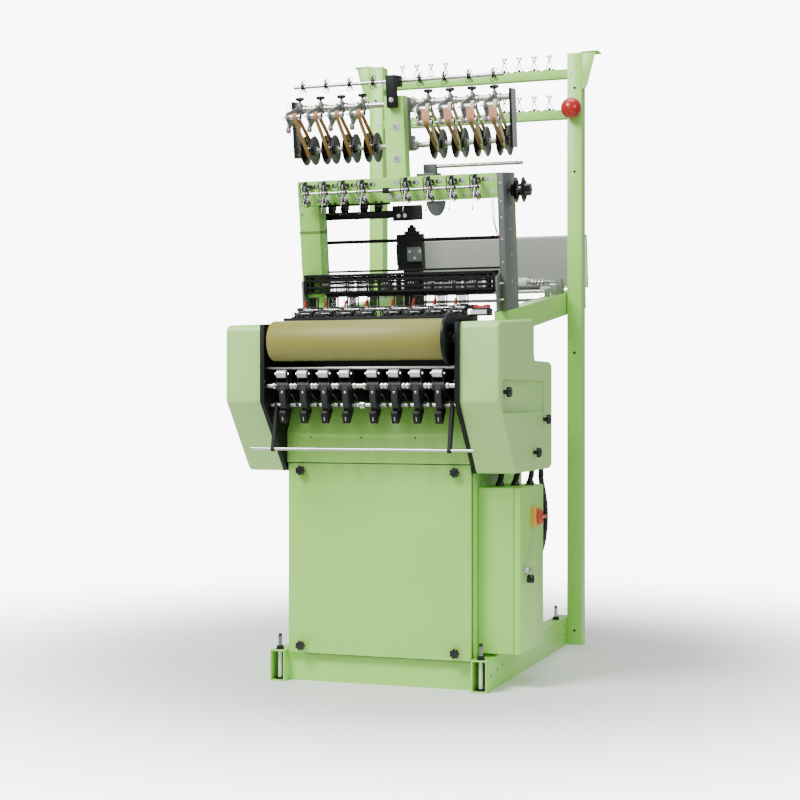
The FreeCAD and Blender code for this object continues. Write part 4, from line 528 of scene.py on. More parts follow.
# ---------------------------------------------------------------- the pieces
def build_base():
    """The base frame, posts and rack beams, with the bolts that hold them."""
    dressed("base_frame", "green", 0.0025)
    dressed("rear_posts", "green", 0.002)
    dressed("rack_beams", "green", 0.002)
    dressed("creel_brackets", "green", 0.0012)
    dressed("levelling_feet", "black", 0.0008)
    low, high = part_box("levelling_feet")
    studs = bmesh.new()
    tips = bmesh.new()
    x = high[0] - 0.016
    for side in (-1, 1):
        for y in (low[1] + 0.016, high[1] - 0.016):
            turned(studs, "z", (side * x, y, 0.01), ((0, 0.0061), (0.13, 0.0061), (0.136, 0.0058)), 16)
            for step in range(14):
                ring_of(studs, (side * x, y, 0.1015 + step * 0.0026 + 0.01), 0.0058, 0.0005, "xy", 14, 4)
            turned(tips, "z", (side * x, y, high[2] - 0.006), ((0, 0.005), (0.002, 0.0058), (0.005, 0.0055),
                    (0.0058, 0.004)), 16)
            turned(tips, "z", (side * x, y, 0.0104), ((0, 0.0065), (0.084, 0.0065)), 16)
    settle("levelling_threads", studs, "frame", "turned", smooth=40)
    settle("levelling_stud_caps", tips, "frame", "white", smooth=40)
    nuts = bmesh.new()
    for side in (-1, 1):
        for y in (low[1] + 0.016, high[1] - 0.016):
            turned(nuts, "z", (side * x, y, 0.1004), ((0, 0.015), (0.0014, 0.015), (0.0016, 0.0118),
                    (0.01, 0.0118), (0.0112, 0.01)), 6)
    settle("levelling_nuts", nuts, "frame", "black", edge=0.0003)

    # dark discs on the rail sides and the post faces: painted shade inside the holes
    holes = bmesh.new()
    side_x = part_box("base_frame")[1][0]
    for y, z in ((-0.548, 0.048), (-0.476, 0.056), (-0.418, 0.062), (0.44, 0.04), (0.44, 0.07)):
        for side in (-1, 1):
            turned(holes, "x", (side * (side_x - 0.0001), y, z), ((0, 0.0052), (side * 0.0002, 0.005),
                    (side * 0.0003, 0.004)), 16)
    post_low, post_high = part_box("rear_posts")
    for z in (0.052, 1.08, 1.75, 2.06):
        for side in (-1, 1):
            turned(holes, "y", (side * (post_high[0] - 0.027), post_low[1] + 0.0002, z), ((0, 0.0052),
                    (-0.0002, 0.0048)), 16)
    settle("rail_and_post_hole_shades", holes, "frame", "painted_shade")
    bolts = bmesh.new()
    for side in (-1, 1):
        for z in (0.032, 0.07):
            hex_head(bolts, "y", (side * 0.39, post_high[1] - 0.0004, z), 0.016, 0.0004)
        for z in (1.966, 2.117):
            socket_screw(bolts, (side * 0.376, post_low[1] - 0.0001, z), 0.005, 0.003)
        for z in (2.16, 2.09):
            turned(bolts, "x", (side * (post_high[0] + 0.0001), post_low[1] + 0.025, z), ((0, 0.007),
                    (side * 0.0024, 0.007), (side * 0.003, 0.0056)), 6)
    settle("post_bolts", bolts, "frame", "steel")
    gussets = bmesh.new()
    for side in (-1, 1):
        edge = side * post_high[0]
        prism(gussets, [(edge + side * 0.0004, 2.188), (edge + side * 0.052, 2.188),
                (edge + side * 0.02, 2.066), (edge + side * 0.013, 2.056), (edge + side * 0.0004, 2.056)],
                "y", post_low[1] + 0.001, post_low[1] + 0.0045)
    settle("bracket_gussets", gussets, "frame", "green", edge=0.0006)
    pins = bmesh.new()
    for side in (-1, 1):
        socket_screw(pins, (side * (post_high[0] + 0.0105), post_low[1] + 0.001, 2.068), 0.0042, 0.002)
    settle("bracket_screws", pins, "frame", "steel")
    welds = bmesh.new()
    for side in (-1, 1):
        edge = side * (side_x - 0.05)
        for y in (-0.56, -0.51):
            points = [(edge - side * 0.001, y + 0.0003 * (index % 2), 0.004 + index * 0.0043)
                    for index in range(20)]
            wire_along(welds, points, 0.0018, 6)
    settle("beam_welds", welds, "frame", "green", smooth=50)


def build_cabinet():
    """The cabinet, its panel and the leaning apron."""
    dressed("cabinet_shell", "green")
    dressed("front_panel", "green", 0.0022)
    dressed("apron_plate", "green", 0.001)
    dressed("bed_casting", "bed", 0.003)
    low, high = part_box("front_panel")
    gap = bmesh.new()
    block(gap, (low[0] + 0.056, low[1] + 0.001, 0.0902), (high[0], high[1], low[2] + 0.0012))
    apron_low, apron_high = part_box("apron_plate")
    block(gap, (low[0] + 0.002, low[1] + 0.003, high[2] - 0.0004), (high[0] - 0.002, high[1],
            high[2] + 0.0034))
    settle("panel_shadow_gaps", gap, "frame", "painted_shade")
    screws = bmesh.new()
    # three dark discs on the apron: painted shade inside its holes
    for share in (-0.74, -0.18, 0.4):
        turned(screws, "y", (share * apron_high[0], apron_low[1] + 0.004, 0.786), ((0, 0.0029),
                (-0.0015, 0.0029)), 14)
    settle("apron_hole_shades", screws, "frame", "painted_shade")
    seams = bmesh.new()
    shell_low, shell_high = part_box("cabinet_shell")
    for side in (-1, 1):
        edge = side * shell_high[0]
        block(seams, (min(edge, edge - side * 0.0004), shell_low[1] + 0.08, 0.16),
                (max(edge, edge - side * 0.0004) + 0.0001, shell_low[1] + 0.0812, 0.64))
    settle("cabinet_seams", seams, "frame", "seam")
    # dark louvre slots on the back: painted shade inside the vents
    vents = bmesh.new()
    back = shell_high[1]
    for row in range(8):
        z = 0.52 + row * 0.016
        prism(vents, [(-0.09, z), (-0.086, z + 0.003), (0.086, z + 0.003), (0.09, z), (0.086, z - 0.003),
                (-0.086, z - 0.003)], "y", back - 0.0006, back + 0.0002)
    settle("cabinet_vent_shades", vents, "frame", "painted_shade")
    build_knobs()


def build_knobs():
    """The star knobs that hold the panel and the covers."""
    reach = 0.0165
    star = bmesh.new()
    outline = []
    for index in range(42):
        angle = 2 * math.pi * index / 42
        radius = reach * (0.9 + 0.098 * math.cos(7 * angle))
        outline.append((radius * math.cos(angle), radius * math.sin(angle)))
    rows = []
    for depth, share in ((0.0, 0.86), (0.0014, 0.97), (0.005, 1.0), (0.01, 0.99), (0.013, 0.92),
            (0.0146, 0.78)):
        rows.append([star.verts.new((a * share, -depth, b * share)) for a, b in outline])
    for row, following in zip(rows, rows[1:]):
        for index in range(42):
            beyond = (index + 1) % 42
            star.faces.new((row[index], row[beyond], following[beyond], following[index]))
    star.faces.new(rows[0])
    star.faces.new(rows[-1][::-1])
    turned(star, "y", (0, 0, 0), ((0.0106, 0.0066), (0, 0.0069), (-0.001, 0.0069)), 20)
    turned(star, "y", (0, 0, 0), ((-0.014, 0.0075), (-0.0148, 0.0074), (-0.0149, 0.005)), 20)
    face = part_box("front_panel")[0][1] - 0.011
    places = [at(side * 0.259, face, z) for side in (-1, 1) for z in (0.117, 0.679)]
    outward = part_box("cover_right")[1][0] + 0.011
    for side in (-1, 1):
        turn = Matrix.Rotation(math.radians(90 * side), 4, "Z")
        for ((y, z), sunk) in zip(((-0.682, 0.929), (-0.222, 0.842), (-0.35, 0.737)), (0.008, 0.0, 0.0)):
            places.append(Matrix.Translation((side * (outward - sunk), y, z)) @ turn)
    settle("star_knob_grips", star, "frame", "knob", smooth=40, replaces=("star_knobs",), places=places)


def build_covers():
    """The two side covers and the plates behind them."""
    dressed("cover_left", "cover", 0.0, 28)
    dressed("cover_right", "cover", 0.0, 28)
    dressed("side_frames", "dark", 0.001)
    fixings = bmesh.new()
    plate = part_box("side_frames")[1][0]
    for side in (-1, 1):
        x = side * (plate - 0.014)
        for y, z in (DRUM_AXIS, ARM_SHAFT, LEVER_SHAFT):
            for step in (0, 120, 240):
                spot = (x, y + 0.025 * math.cos(math.radians(step + 30)),
                        z + 0.025 * math.sin(math.radians(step + 30)))
                turned(fixings, "x", spot, ((0, 0.004), (-side * 0.003, 0.004), (-side * 0.0036, 0.003)), 6)
        turned(fixings, "x", (x, *DRUM_AXIS), ((0, 0.02), (-side * 0.002, 0.02), (-side * 0.003, 0.018)),
                28)
    settle("side_frame_bolts", fixings, "frame", "black")


def build_take_up():
    """The take-up drum and the press rollers on their arms."""
    low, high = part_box("take_up_drum")
    y, z = ((low[1] + high[1]) / 2, (low[2] + high[2]) / 2)
    radius = (high[2] - low[2]) / 2
    length = high[0] - low[0]
    piece("drum_sleeve", "take_up", "drum",
          (turned, "x", (low[0], y, z), ((0.0002, 0.03), (0.0002, radius - 0.006),
              (0.0014, radius - 0.0022), (0.0045, radius - 0.0002), (length - 0.004, radius - 0.0002),
              (length - 0.0012, radius - 0.002), (length, radius - 0.005), (length, 0.03)), 96),
          smooth=40, replaces=("take_up_drum",))
    piece("drum_hub", "take_up", "cast",
          (turned, "x", (low[0] + 0.0002, y, z), ((0, 0.029), (-0.001, 0.028), (-0.006, 0.026),
              (-0.0066, 0.024)), 40))
    dressed("take_up_shaft", "disc", 0.0016)
    piece("drum_disc_hub", "take_up", "black",
          (turned, "x", (0.2905, y, z), ((0, 0.022), (0.005, 0.022), (0.006, 0.02), (0.006, 0.0125)), 32))

    rods = bmesh.new()
    for ((back, up), wide) in ((ARM_SHAFT, 0.0079), (LEVER_SHAFT, 0.0059), ((-0.748, 1.004), 0.0039)):
        turned(rods, "x", (-0.3105, back, up), ((0, wide * 0.85), (0.001, wide), (0.62, wide),
                (0.621, wide * 0.85)), 24)
    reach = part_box("breast_shafts")[1][0] - 0.0003
    turned(rods, "x", (-reach, -0.745, 0.753), ((0, 0.0035), (0.001, 0.0049), (2 * reach - 0.001, 0.0049),
            (2 * reach, 0.0035)), 20)
    settle("breast_rods", rods, "frame", "turned", replaces=("breast_shafts",))
    piece("cloth_bar_blade", "frame", "steel",
          (block, (-0.285, -0.7445, 1.0), (0.285, -0.736, 1.003)), edge=0.0006)
    arms = bmesh.new()
    for x in (-0.295, 0.283):
        prism(arms, [(-0.723, 0.883), (-0.719, 0.899), (-0.711, 0.899), (-0.707, 0.89), (-0.737, 0.748),
                (-0.742, 0.744), (-0.75, 0.745), (-0.753, 0.752), (-0.749, 0.76)], "x", x, x + 0.012)
    settle("tape_rod_arms", arms, "frame", "dark", edge=0.001)
    collars = bmesh.new()
    for head in HEADS:
        for step in (-0.033, 0.025):
            turned(collars, "x", (head + step, *ARM_SHAFT), ((0, 0.01), (0.0007, 0.0112), (0.007, 0.0112),
                    (0.0077, 0.01)), 20)
        for step in (-0.018, 0.012):
            turned(collars, "x", (head + step, *LEVER_SHAFT), ((0, 0.008), (0.006, 0.008)), 18)
    settle("press_shaft_collars", collars, "frame", "turned")

    places = [at(x) for x in HEADS]
    piece("press_arm_castings", "frame", "arm",
          (turned, "x", (-0.021, *ARM_SHAFT), ((0, 0.0082), (0, 0.0135), (0.0012, 0.0149), (0.01, 0.0149),
              (0.0108, 0.0138), (0.0312, 0.0138), (0.032, 0.0149), (0.0408, 0.0149), (0.042, 0.0135),
              (0.042, 0.0082)), 28),
          (turned, "x", (-0.0108, *LEVER_SHAFT), ((0, 0.0062), (0, 0.0098), (0.0216, 0.0098),
              (0.0216, 0.0062)), 24),
          (prism, [(-0.754, 0.948), (-0.754, 0.916), (-0.744, 0.88), (-0.73, 0.868), (-0.704, 0.868),
              (-0.704, 0.898), (-0.723, 0.916), (-0.728, 0.948)], "x", -0.0095, 0.0095),
          edge=0.0012, replaces=("press_arms",), places=places)
    toes = bmesh.new()
    prism(toes, [(-0.749, 0.872), (-0.754, 0.864), (-0.742, 0.833), (-0.733, 0.8325), (-0.703, 0.87),
            (-0.703, 0.876)], "x", -0.0108, 0.0108)
    for x in (-0.019, 0.016):
        prism(toes, [(-0.756, 0.992), (-0.747, 0.992), (-0.744, 0.984), (-0.733, 0.948), (-0.748, 0.948),
                (-0.76, 0.98), (-0.7595, 0.99)], "x", x, x + 0.003)
    settle("press_arm_toes", toes, "frame", "dark", edge=0.001, places=places)
    piece("press_arm_slots", "frame", "steel",
          (prism, [(-0.7492, 0.852), (-0.75, 0.852), (-0.746, 0.8405), (-0.7452, 0.8405)],
              "x", -0.0012, 0.0012),
          (turned, "x", (-0.023, *ROLLER_AXIS), ((0, 0.0035), (0.003, 0.0035)), 6),
          (turned, "x", (0.02, *ROLLER_AXIS), ((0, 0.0035), (0.003, 0.0035)), 6),
          (turned, "y", (0.0, -0.7535, 0.928), ((0, 0.0038), (-0.0022, 0.0038), (-0.0028, 0.0028)), 6),
          places=places)
    piece("press_roller_sleeves", "press_rollers", "satin",
          (turned, "x", (-0.016, *ROLLER_AXIS), ((0.0002, 0.0036), (0.0002, 0.0108), (0.0014, 0.0122),
              (0.012, 0.0124), (0.02, 0.0124), (0.0306, 0.0122), (0.0318, 0.0108), (0.0318, 0.0036)), 36),
          smooth=40, replaces=("press_rollers",), places=places)
    piece("press_springs", "frame", "wire",
          (wire_along, coil_points((0.033, -0.715, 0.89), (0.043, -0.715, 0.89), 0.0078, 4, 9), 0.0009, 5),
          (wire_along, [(0.033, -0.7228, 0.89), (0.033, -0.735, 0.91), (0.025, -0.74, 0.924)], 0.0009, 5),
          smooth=40, places=places)

    low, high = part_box("release_lever")
    lever = bmesh.new()
    turned(lever, "y", (0, high[1] - 0.012, 0.89), ((0, 0.0034), (low[1] - high[1] + 0.02, 0.003),
            (low[1] - high[1] + 0.019, 0.003)), 16)
    ball = [(math.cos(math.radians(angle)) * 0.0068, math.sin(math.radians(angle)) * 0.0068)
            for angle in range(8, 173, 12)]
    turned(lever, "y", (0, low[1] + 0.007, 0.89), ball[::-1], 24)
    turned(lever, "x", (-0.0078, *LEVER_SHAFT), ((0, 0.0061), (0, 0.0105), (0.001, 0.0117),
            (0.0146, 0.0117), (0.0156, 0.0105), (0.0156, 0.0061)), 26)
    settle("release_lever_ball", lever, "release_lever", "steel", smooth=40, replaces=("release_lever",))

    # dark sheets behind the breast shafts, over the arms and between the heads: painted shade of the
    # machine's inside
    shade = bmesh.new()
    block(shade, (-0.31, -0.478, 0.899), (0.31, -0.4705, 1.149), (-0.31, -0.69, 0.998),
            (0.31, -0.476, 1.002))
    for head in HEADS:
        block(shade, (head - 0.006, -0.69, 0.9), (head + 0.006, -0.476, 0.9985))
    settle("breast_painted_shade", shade, "frame", "dark", edge=0.001)


def build_heads():
    """The weaving heads: rail, reeds, weft needles, latch levers and switch."""
    dressed("head_rail", "black", 0.001)
    places = [at(x) for x in HEADS]

    piece("head_brackets", "frame", "gloss",
          (prism, [(-0.61, 1.168), (-0.61, 1.175), (-0.596, 1.1762), (-0.57, 1.1762), (-0.565, 1.188),
              (-0.556, 1.188), (-0.55, 1.168)], "x", -0.014, -0.004),
          (prism, [(-0.608, 1.168), (-0.608, 1.172), (-0.59, 1.176), (-0.55, 1.176), (-0.546, 1.184),
              (-0.54, 1.184), (-0.534, 1.168)], "x", 0.01, 0.02),
          (block, (-0.031, -0.608, 1.168), (0.031, -0.59, 1.1715), (-0.029, -0.556, 1.168),
              (0.029, -0.542, 1.185)),
          (wire_along, [(-0.03, -0.595, 1.174), (-0.029, -0.601, 1.182), (-0.018, -0.606, 1.184),
              (0.002, -0.606, 1.181), (0.02, -0.603, 1.176)], 0.0022, 7),
          (turned, "z", (0.016, -0.601, 1.1715), ((0, 0.0048), (0.003, 0.0048), (0.0036, 0.0038)), 6),
          edge=0.0006, places=places)

    bright = bmesh.new()
    for x, y in ((-0.021, -0.6), (0.004, -0.599), (0.024, -0.549), (-0.022, -0.55)):
        turned(bright, "z", (x, y, 1.1712), ((0, 0.0036), (0.003, 0.0036), (0.0034, 0.003),
                (0.0034, 0.0016), (0.0022, 0.0014)), 12)
    block(bright, (0.001, -0.55, 1.185), (0.025, -0.544, 1.1905))
    turned(bright, "x", (-0.025, -0.549, 1.19), ((0, 0.0036), (0.05, 0.0036)), 14)
    wire_along(bright, [(-0.025, -0.59, 1.176), (-0.02, -0.596, 1.188), (-0.008, -0.599, 1.195),
            (0.006, -0.596, 1.193), (0.014, -0.588, 1.184), (0.015, -0.582, 1.177)], 0.0014, 7)
    wire_along(bright, [(0.024, -0.55, 1.186), (0.027, -0.56, 1.198), (0.02, -0.572, 1.202),
            (0.008, -0.578, 1.196)], 0.0011, 6)
    settle("head_fittings", bright, "frame", "bent", places=places)

    guides = bmesh.new()
    for shift in (-0.006, 0.006):
        ring_of(guides, (shift, -0.548, 1.1985), 0.0034, 0.0012, "xz", 12, 6)
    settle("head_eyelets", guides, "frame", "white", smooth=40, places=places)
    piece("head_springs", "frame", "wire",
          (wire_along, coil_points((-0.027, -0.586, 1.176), (-0.027, -0.556, 1.179), 0.0026, 9, 7),
              0.0005, 5), smooth=40, places=places)

    for head, x in enumerate(HEADS_IN_ORDER, 1):
        node = f"weft_needle_{head}"
        low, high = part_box(node)
        hub = Vector((x - 0.024, -0.578, low[2]))
        arm = bmesh.new()
        turned(arm, "z", hub, ((0.0002, 0.0042), (0.0002, 0.007), (0.001, 0.0079), (0.0058, 0.0079),
                (0.0066, 0.007), (0.0066, 0.0042)), 24)
        tip = Vector((hub.x + 0.052, low[1] + 0.01, low[2] + 0.0036))
        bend = Vector((hub.x + 0.0455, low[1] + 0.0035, tip.z))
        wire_along(arm, [hub + Vector((0.005, -0.002, 0.0036)), hub + Vector((0.014, -0.012, 0.0036)),
                Vector((hub.x + 0.026, low[1] + 0.003, tip.z)),
                Vector((hub.x + 0.037, low[1] + 0.0022, tip.z)), bend, tip], 0.0018, 8)
        settle(f"weft_needle_arm_{head}", arm, f"weft_needle_{head}", "steel", smooth=40, replaces=(node,))

    low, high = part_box("latch_levers")
    piece("latch_bar", "latch_levers", "steel",
          (turned, "x", (low[0] + 0.0002, *LATCH_AXIS), ((0, 0.0022), (0.0006, 0.0029),
              (high[0] - low[0] - 0.001, 0.0029), (high[0] - low[0] - 0.0004, 0.0022)), 16),
          smooth=40, replaces=("latch_levers",))
    piece("latch_lever_sleeves", "latch_levers", "red",
          (turned, "x", (-0.019, *LATCH_AXIS), ((0, 0.0034), (0.0002, 0.0029), (0.008, 0.0029)), 12),
          (wire_along, [(-0.015, -0.538, 1.197), (-0.014, -0.538, 1.202), (-0.009, -0.538, 1.223)],
              0.0026, 12),
          (wire_along, [(-0.0127, -0.538, 1.2075), (-0.0084, -0.538, 1.2256)], 0.0036, 12),
          smooth=40, places=places)

    sley = bmesh.new()
    box_low, box_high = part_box("sley")
    block(sley, (box_low[0] + 0.015, -0.5069, 1.199), (box_high[0] - 0.015, -0.4931, 1.204))
    for x in HEADS:
        for edge in (-0.02, 0.0176):
            block(sley, (x + edge, -0.5035, 1.204), (x + edge + 0.0024, -0.4965, 1.239))
        block(sley, (x - 0.02, -0.503, 1.2365), (x + 0.02, -0.497, 1.239))
        for step in range(-6, 7):
            block(sley, (x + step * 0.002 - 0.0002, -0.502, 1.204),
                    (x + step * 0.002 + 0.0002, -0.498, 1.237))
    settle("reed_dents", sley, "sley", "dark")
    dressed("sley", "black", 0.0006)

    low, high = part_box("switch_button")
    piece("switch_rocker", "switch_button", "red",
          (prism, [(low[0], low[2] + 0.0001), (high[0], low[2] + 0.0001), (high[0], high[2] - 0.001),
              (high[0] - 0.004, high[2] - 0.0002), ((low[0] + high[0]) / 2 + 0.002, high[2] - 0.0042),
              ((low[0] + high[0]) / 2 - 0.002, high[2] - 0.0042), (low[0] + 0.004, high[2] - 0.0002),
              (low[0], high[2] - 0.001)], "y", low[1], high[1]), edge=0.0008, replaces=("switch_button",))
    bezel = bmesh.new()
    for x0, x1, y0, y1 in ((low[0] - 0.003, low[0] - 0.0006, low[1] - 0.003, high[1] + 0.003),
            (high[0] + 0.0006, high[0] + 0.003, low[1] - 0.003, high[1] + 0.003),
            (low[0] - 0.003, high[0] + 0.003, low[1] - 0.003, low[1] - 0.0006),
            (low[0] - 0.003, high[0] + 0.003, high[1] + 0.0006, high[1] + 0.003)):
        block(bezel, (x0, y0, low[2] + 0.002), (x1, y1, low[2] + 0.0062))
    block(bezel, (low[0] - 0.0036, -0.6071, low[2] - 0.014), (high[0] + 0.0036, -0.6065, low[2] - 0.001))
    settle("switch_bezel", bezel, "frame", "steel")


def build_upper():
    """The leaning frame, its uprights and the heald frames in it."""
    dressed("upper_frame", "green", 0.0025)
    dressed("machined_uprights", "grey", 0.0015)
    lean = (LEANING,)

    # the joint band takes the dark seam enamel: its dark colour is painted shadow along the joint
    piece("column_joint_band", "frame", "seam",
          (block, (-0.3523, -0.0142, 0.27), (-0.2777, 0.0497, 0.279)), edge=0.001, places=lean)
    knob = bmesh.new()
    turned(knob, "x", (-0.3508, 0.018, 0.242), ((0, 0.005), (-0.0012, 0.005)), 16)
    for x, radius, length in ((-0.3505, 0.006, -0.003), (-0.353, 0.013, -0.0065)):
        turned(knob, "x", (x, 0.018, 0.242), ((0, radius * 0.9), (length * 0.2, radius),
                (length * 0.8, radius), (length, radius * 0.8)), 20)
    settle("column_side_knob", knob, "frame", "knob", places=lean)

    screws = bmesh.new()
    for x, z in ((0.322, 0.425), (0.322, 0.384), (0.0, 0.38), (-0.027, 0.38), (0.0, 0.428), (-0.3, 0.423)):
        socket_screw(screws, (x, -0.015, z), 0.0068, 0.0026)
    for index, x in enumerate(UNITS):
        socket_screw(screws, (x + 0.024, -0.015, 0.425), 0.0062, 0.0022)
        if index % 2 == 0:
            socket_screw(screws, (x + 0.03, -0.015, 0.378), 0.0048, 0.0018)
    for z in (0.504, 0.606):
        socket_screw(screws, (0.005, -0.013, z), 0.0105, 0.0036)
    settle("beam_screws", screws, "frame", "steel", places=lean)
    # dark ovals on the beam face round the screws: painted shade inside the slots
    slots = bmesh.new()
    for x in UNITS:
        prism(slots, [(x + 0.017 + 0.012 * a, 0.425 + 0.0072 * b) for a, b in ((0, -1), (0.75, -0.9),
                (1.2, -0.3), (1.2, 0.3), (0.75, 0.9), (0, 1), (-0.5, 0.6), (-0.5, -0.6))],
                "y", -0.0153, -0.0146)
    settle("beam_slot_shades", slots, "frame", "dark", places=lean)
    piece("column_gusset", "frame", "green",
          (prism, [(0.031, 0.444), (0.049, 0.444), (0.031, 0.49)], "x", -0.028, 0.028),
          edge=0.001, places=lean)

    piece("upright_dark_faces", "frame", "dark",
          (block, (-0.325, 0.0495, 0.03), (-0.3068, 0.0512, 0.358), (-0.3065, 0.052, 0.02),
              (-0.306, 0.12, 0.356), (0.3392, -0.0128, 0.006), (0.3398, 0.131, 0.36)), places=lean)
    holes = bmesh.new()
    for z in (0.156, 0.23, 0.3, 0.352, 0.41):
        turned(holes, "y", (0.35, -0.013, z), ((0, 0.0036), (-0.0009, 0.0036), (-0.001, 0.0028)), 14)
    for z in (0.09, 0.18, 0.26, 0.33):
        turned(holes, "y", (-0.316, 0.05, z), ((0, 0.0034), (-0.0008, 0.0034), (-0.001, 0.0026)), 14)
        turned(holes, "x", (0.36, 0.06, z), ((0, 0.005), (0.0004, 0.0048), (0.0006, 0.003)), 14)
    settle("upright_screws", holes, "frame", "steel", places=lean)

    piece("bar_under_beam", "frame", "dark",
          (block, (-0.306, 0.118, 0.31), (-0.034, 0.142, 0.336), (-0.278, -0.01, 0.356),
              (-0.03, 0.002, 0.3632)), edge=0.0008, places=lean)
    pulleys = bmesh.new()
    for x in (-0.225, -0.18, -0.112, -0.062):
        for step in (-0.009, 0.003):
            turned(pulleys, "x", (x + step, -0.03, 0.348), ((0, 0.004), (0, 0.012), (0.001, 0.0165),
                    (0.0024, 0.011), (0.0036, 0.011), (0.005, 0.0165), (0.006, 0.012), (0.006, 0.004)), 22)
        block(pulleys, (x - 0.0105, -0.033, 0.344), (x - 0.0092, -0.0145, 0.37),
                (x + 0.0092, -0.033, 0.344), (x + 0.0105, -0.0145, 0.37))
        turned(pulleys, "x", (x - 0.012, -0.03, 0.348), ((0, 0.0036), (0.024, 0.0036)), 12)
    settle("cord_pulleys", pulleys, "frame", "gloss", places=lean)
    rim = [(0.13 + 0.033 * math.cos(math.radians(a)), 0.362 + 0.05 * math.sin(math.radians(a)))
            for a in range(180, 361, 15)]
    piece("sector_plate", "frame", "grey", (prism, rim, "y", -0.008, -0.003), edge=0.0006, places=lean)
    piece("long_rod", "frame", "turned",
          (turned, "x", (0.065, 0.09, 0.474), ((0, 0.005), (0.001, 0.0062), (0.334, 0.0062),
              (0.335, 0.005)), 22), places=lean)
    piece("long_rod_seats", "frame", "grey",
          (block, (0.056, 0.024, 0.4445), (0.118, 0.099, 0.453), (0.064, 0.076, 0.452),
              (0.106, 0.099, 0.483)), edge=0.0008, places=lean)
    wires = bmesh.new()
    for shift in (0.0, 0.005, 0.009):
        wire_along(wires, [(0.315 + shift, -0.004, 0.36), (0.315 + shift, -0.006, 0.342),
                (0.318 + shift, -0.01, 0.32), (0.32 + shift * 0.6, -0.008, 0.29),
                (0.326 + shift * 0.4, 0.0, 0.26), (0.333, 0.004, 0.235)], 0.001, 6)
    settle("red_leads", wires, "frame", "red", smooth=40, places=lean)

    build_harness()


def socket_screw(mesh, centre, radius, height):
    """A cap screw seen from the front: washer, head and its hexagonal socket."""
    turned(mesh, "y", centre, ((0, radius * 1.3), (-height * 0.3, radius * 1.3), (-height * 0.32, radius),
            (-height, radius * 0.94), (-height, radius * 0.5), (-height * 0.5, radius * 0.42)), 18)


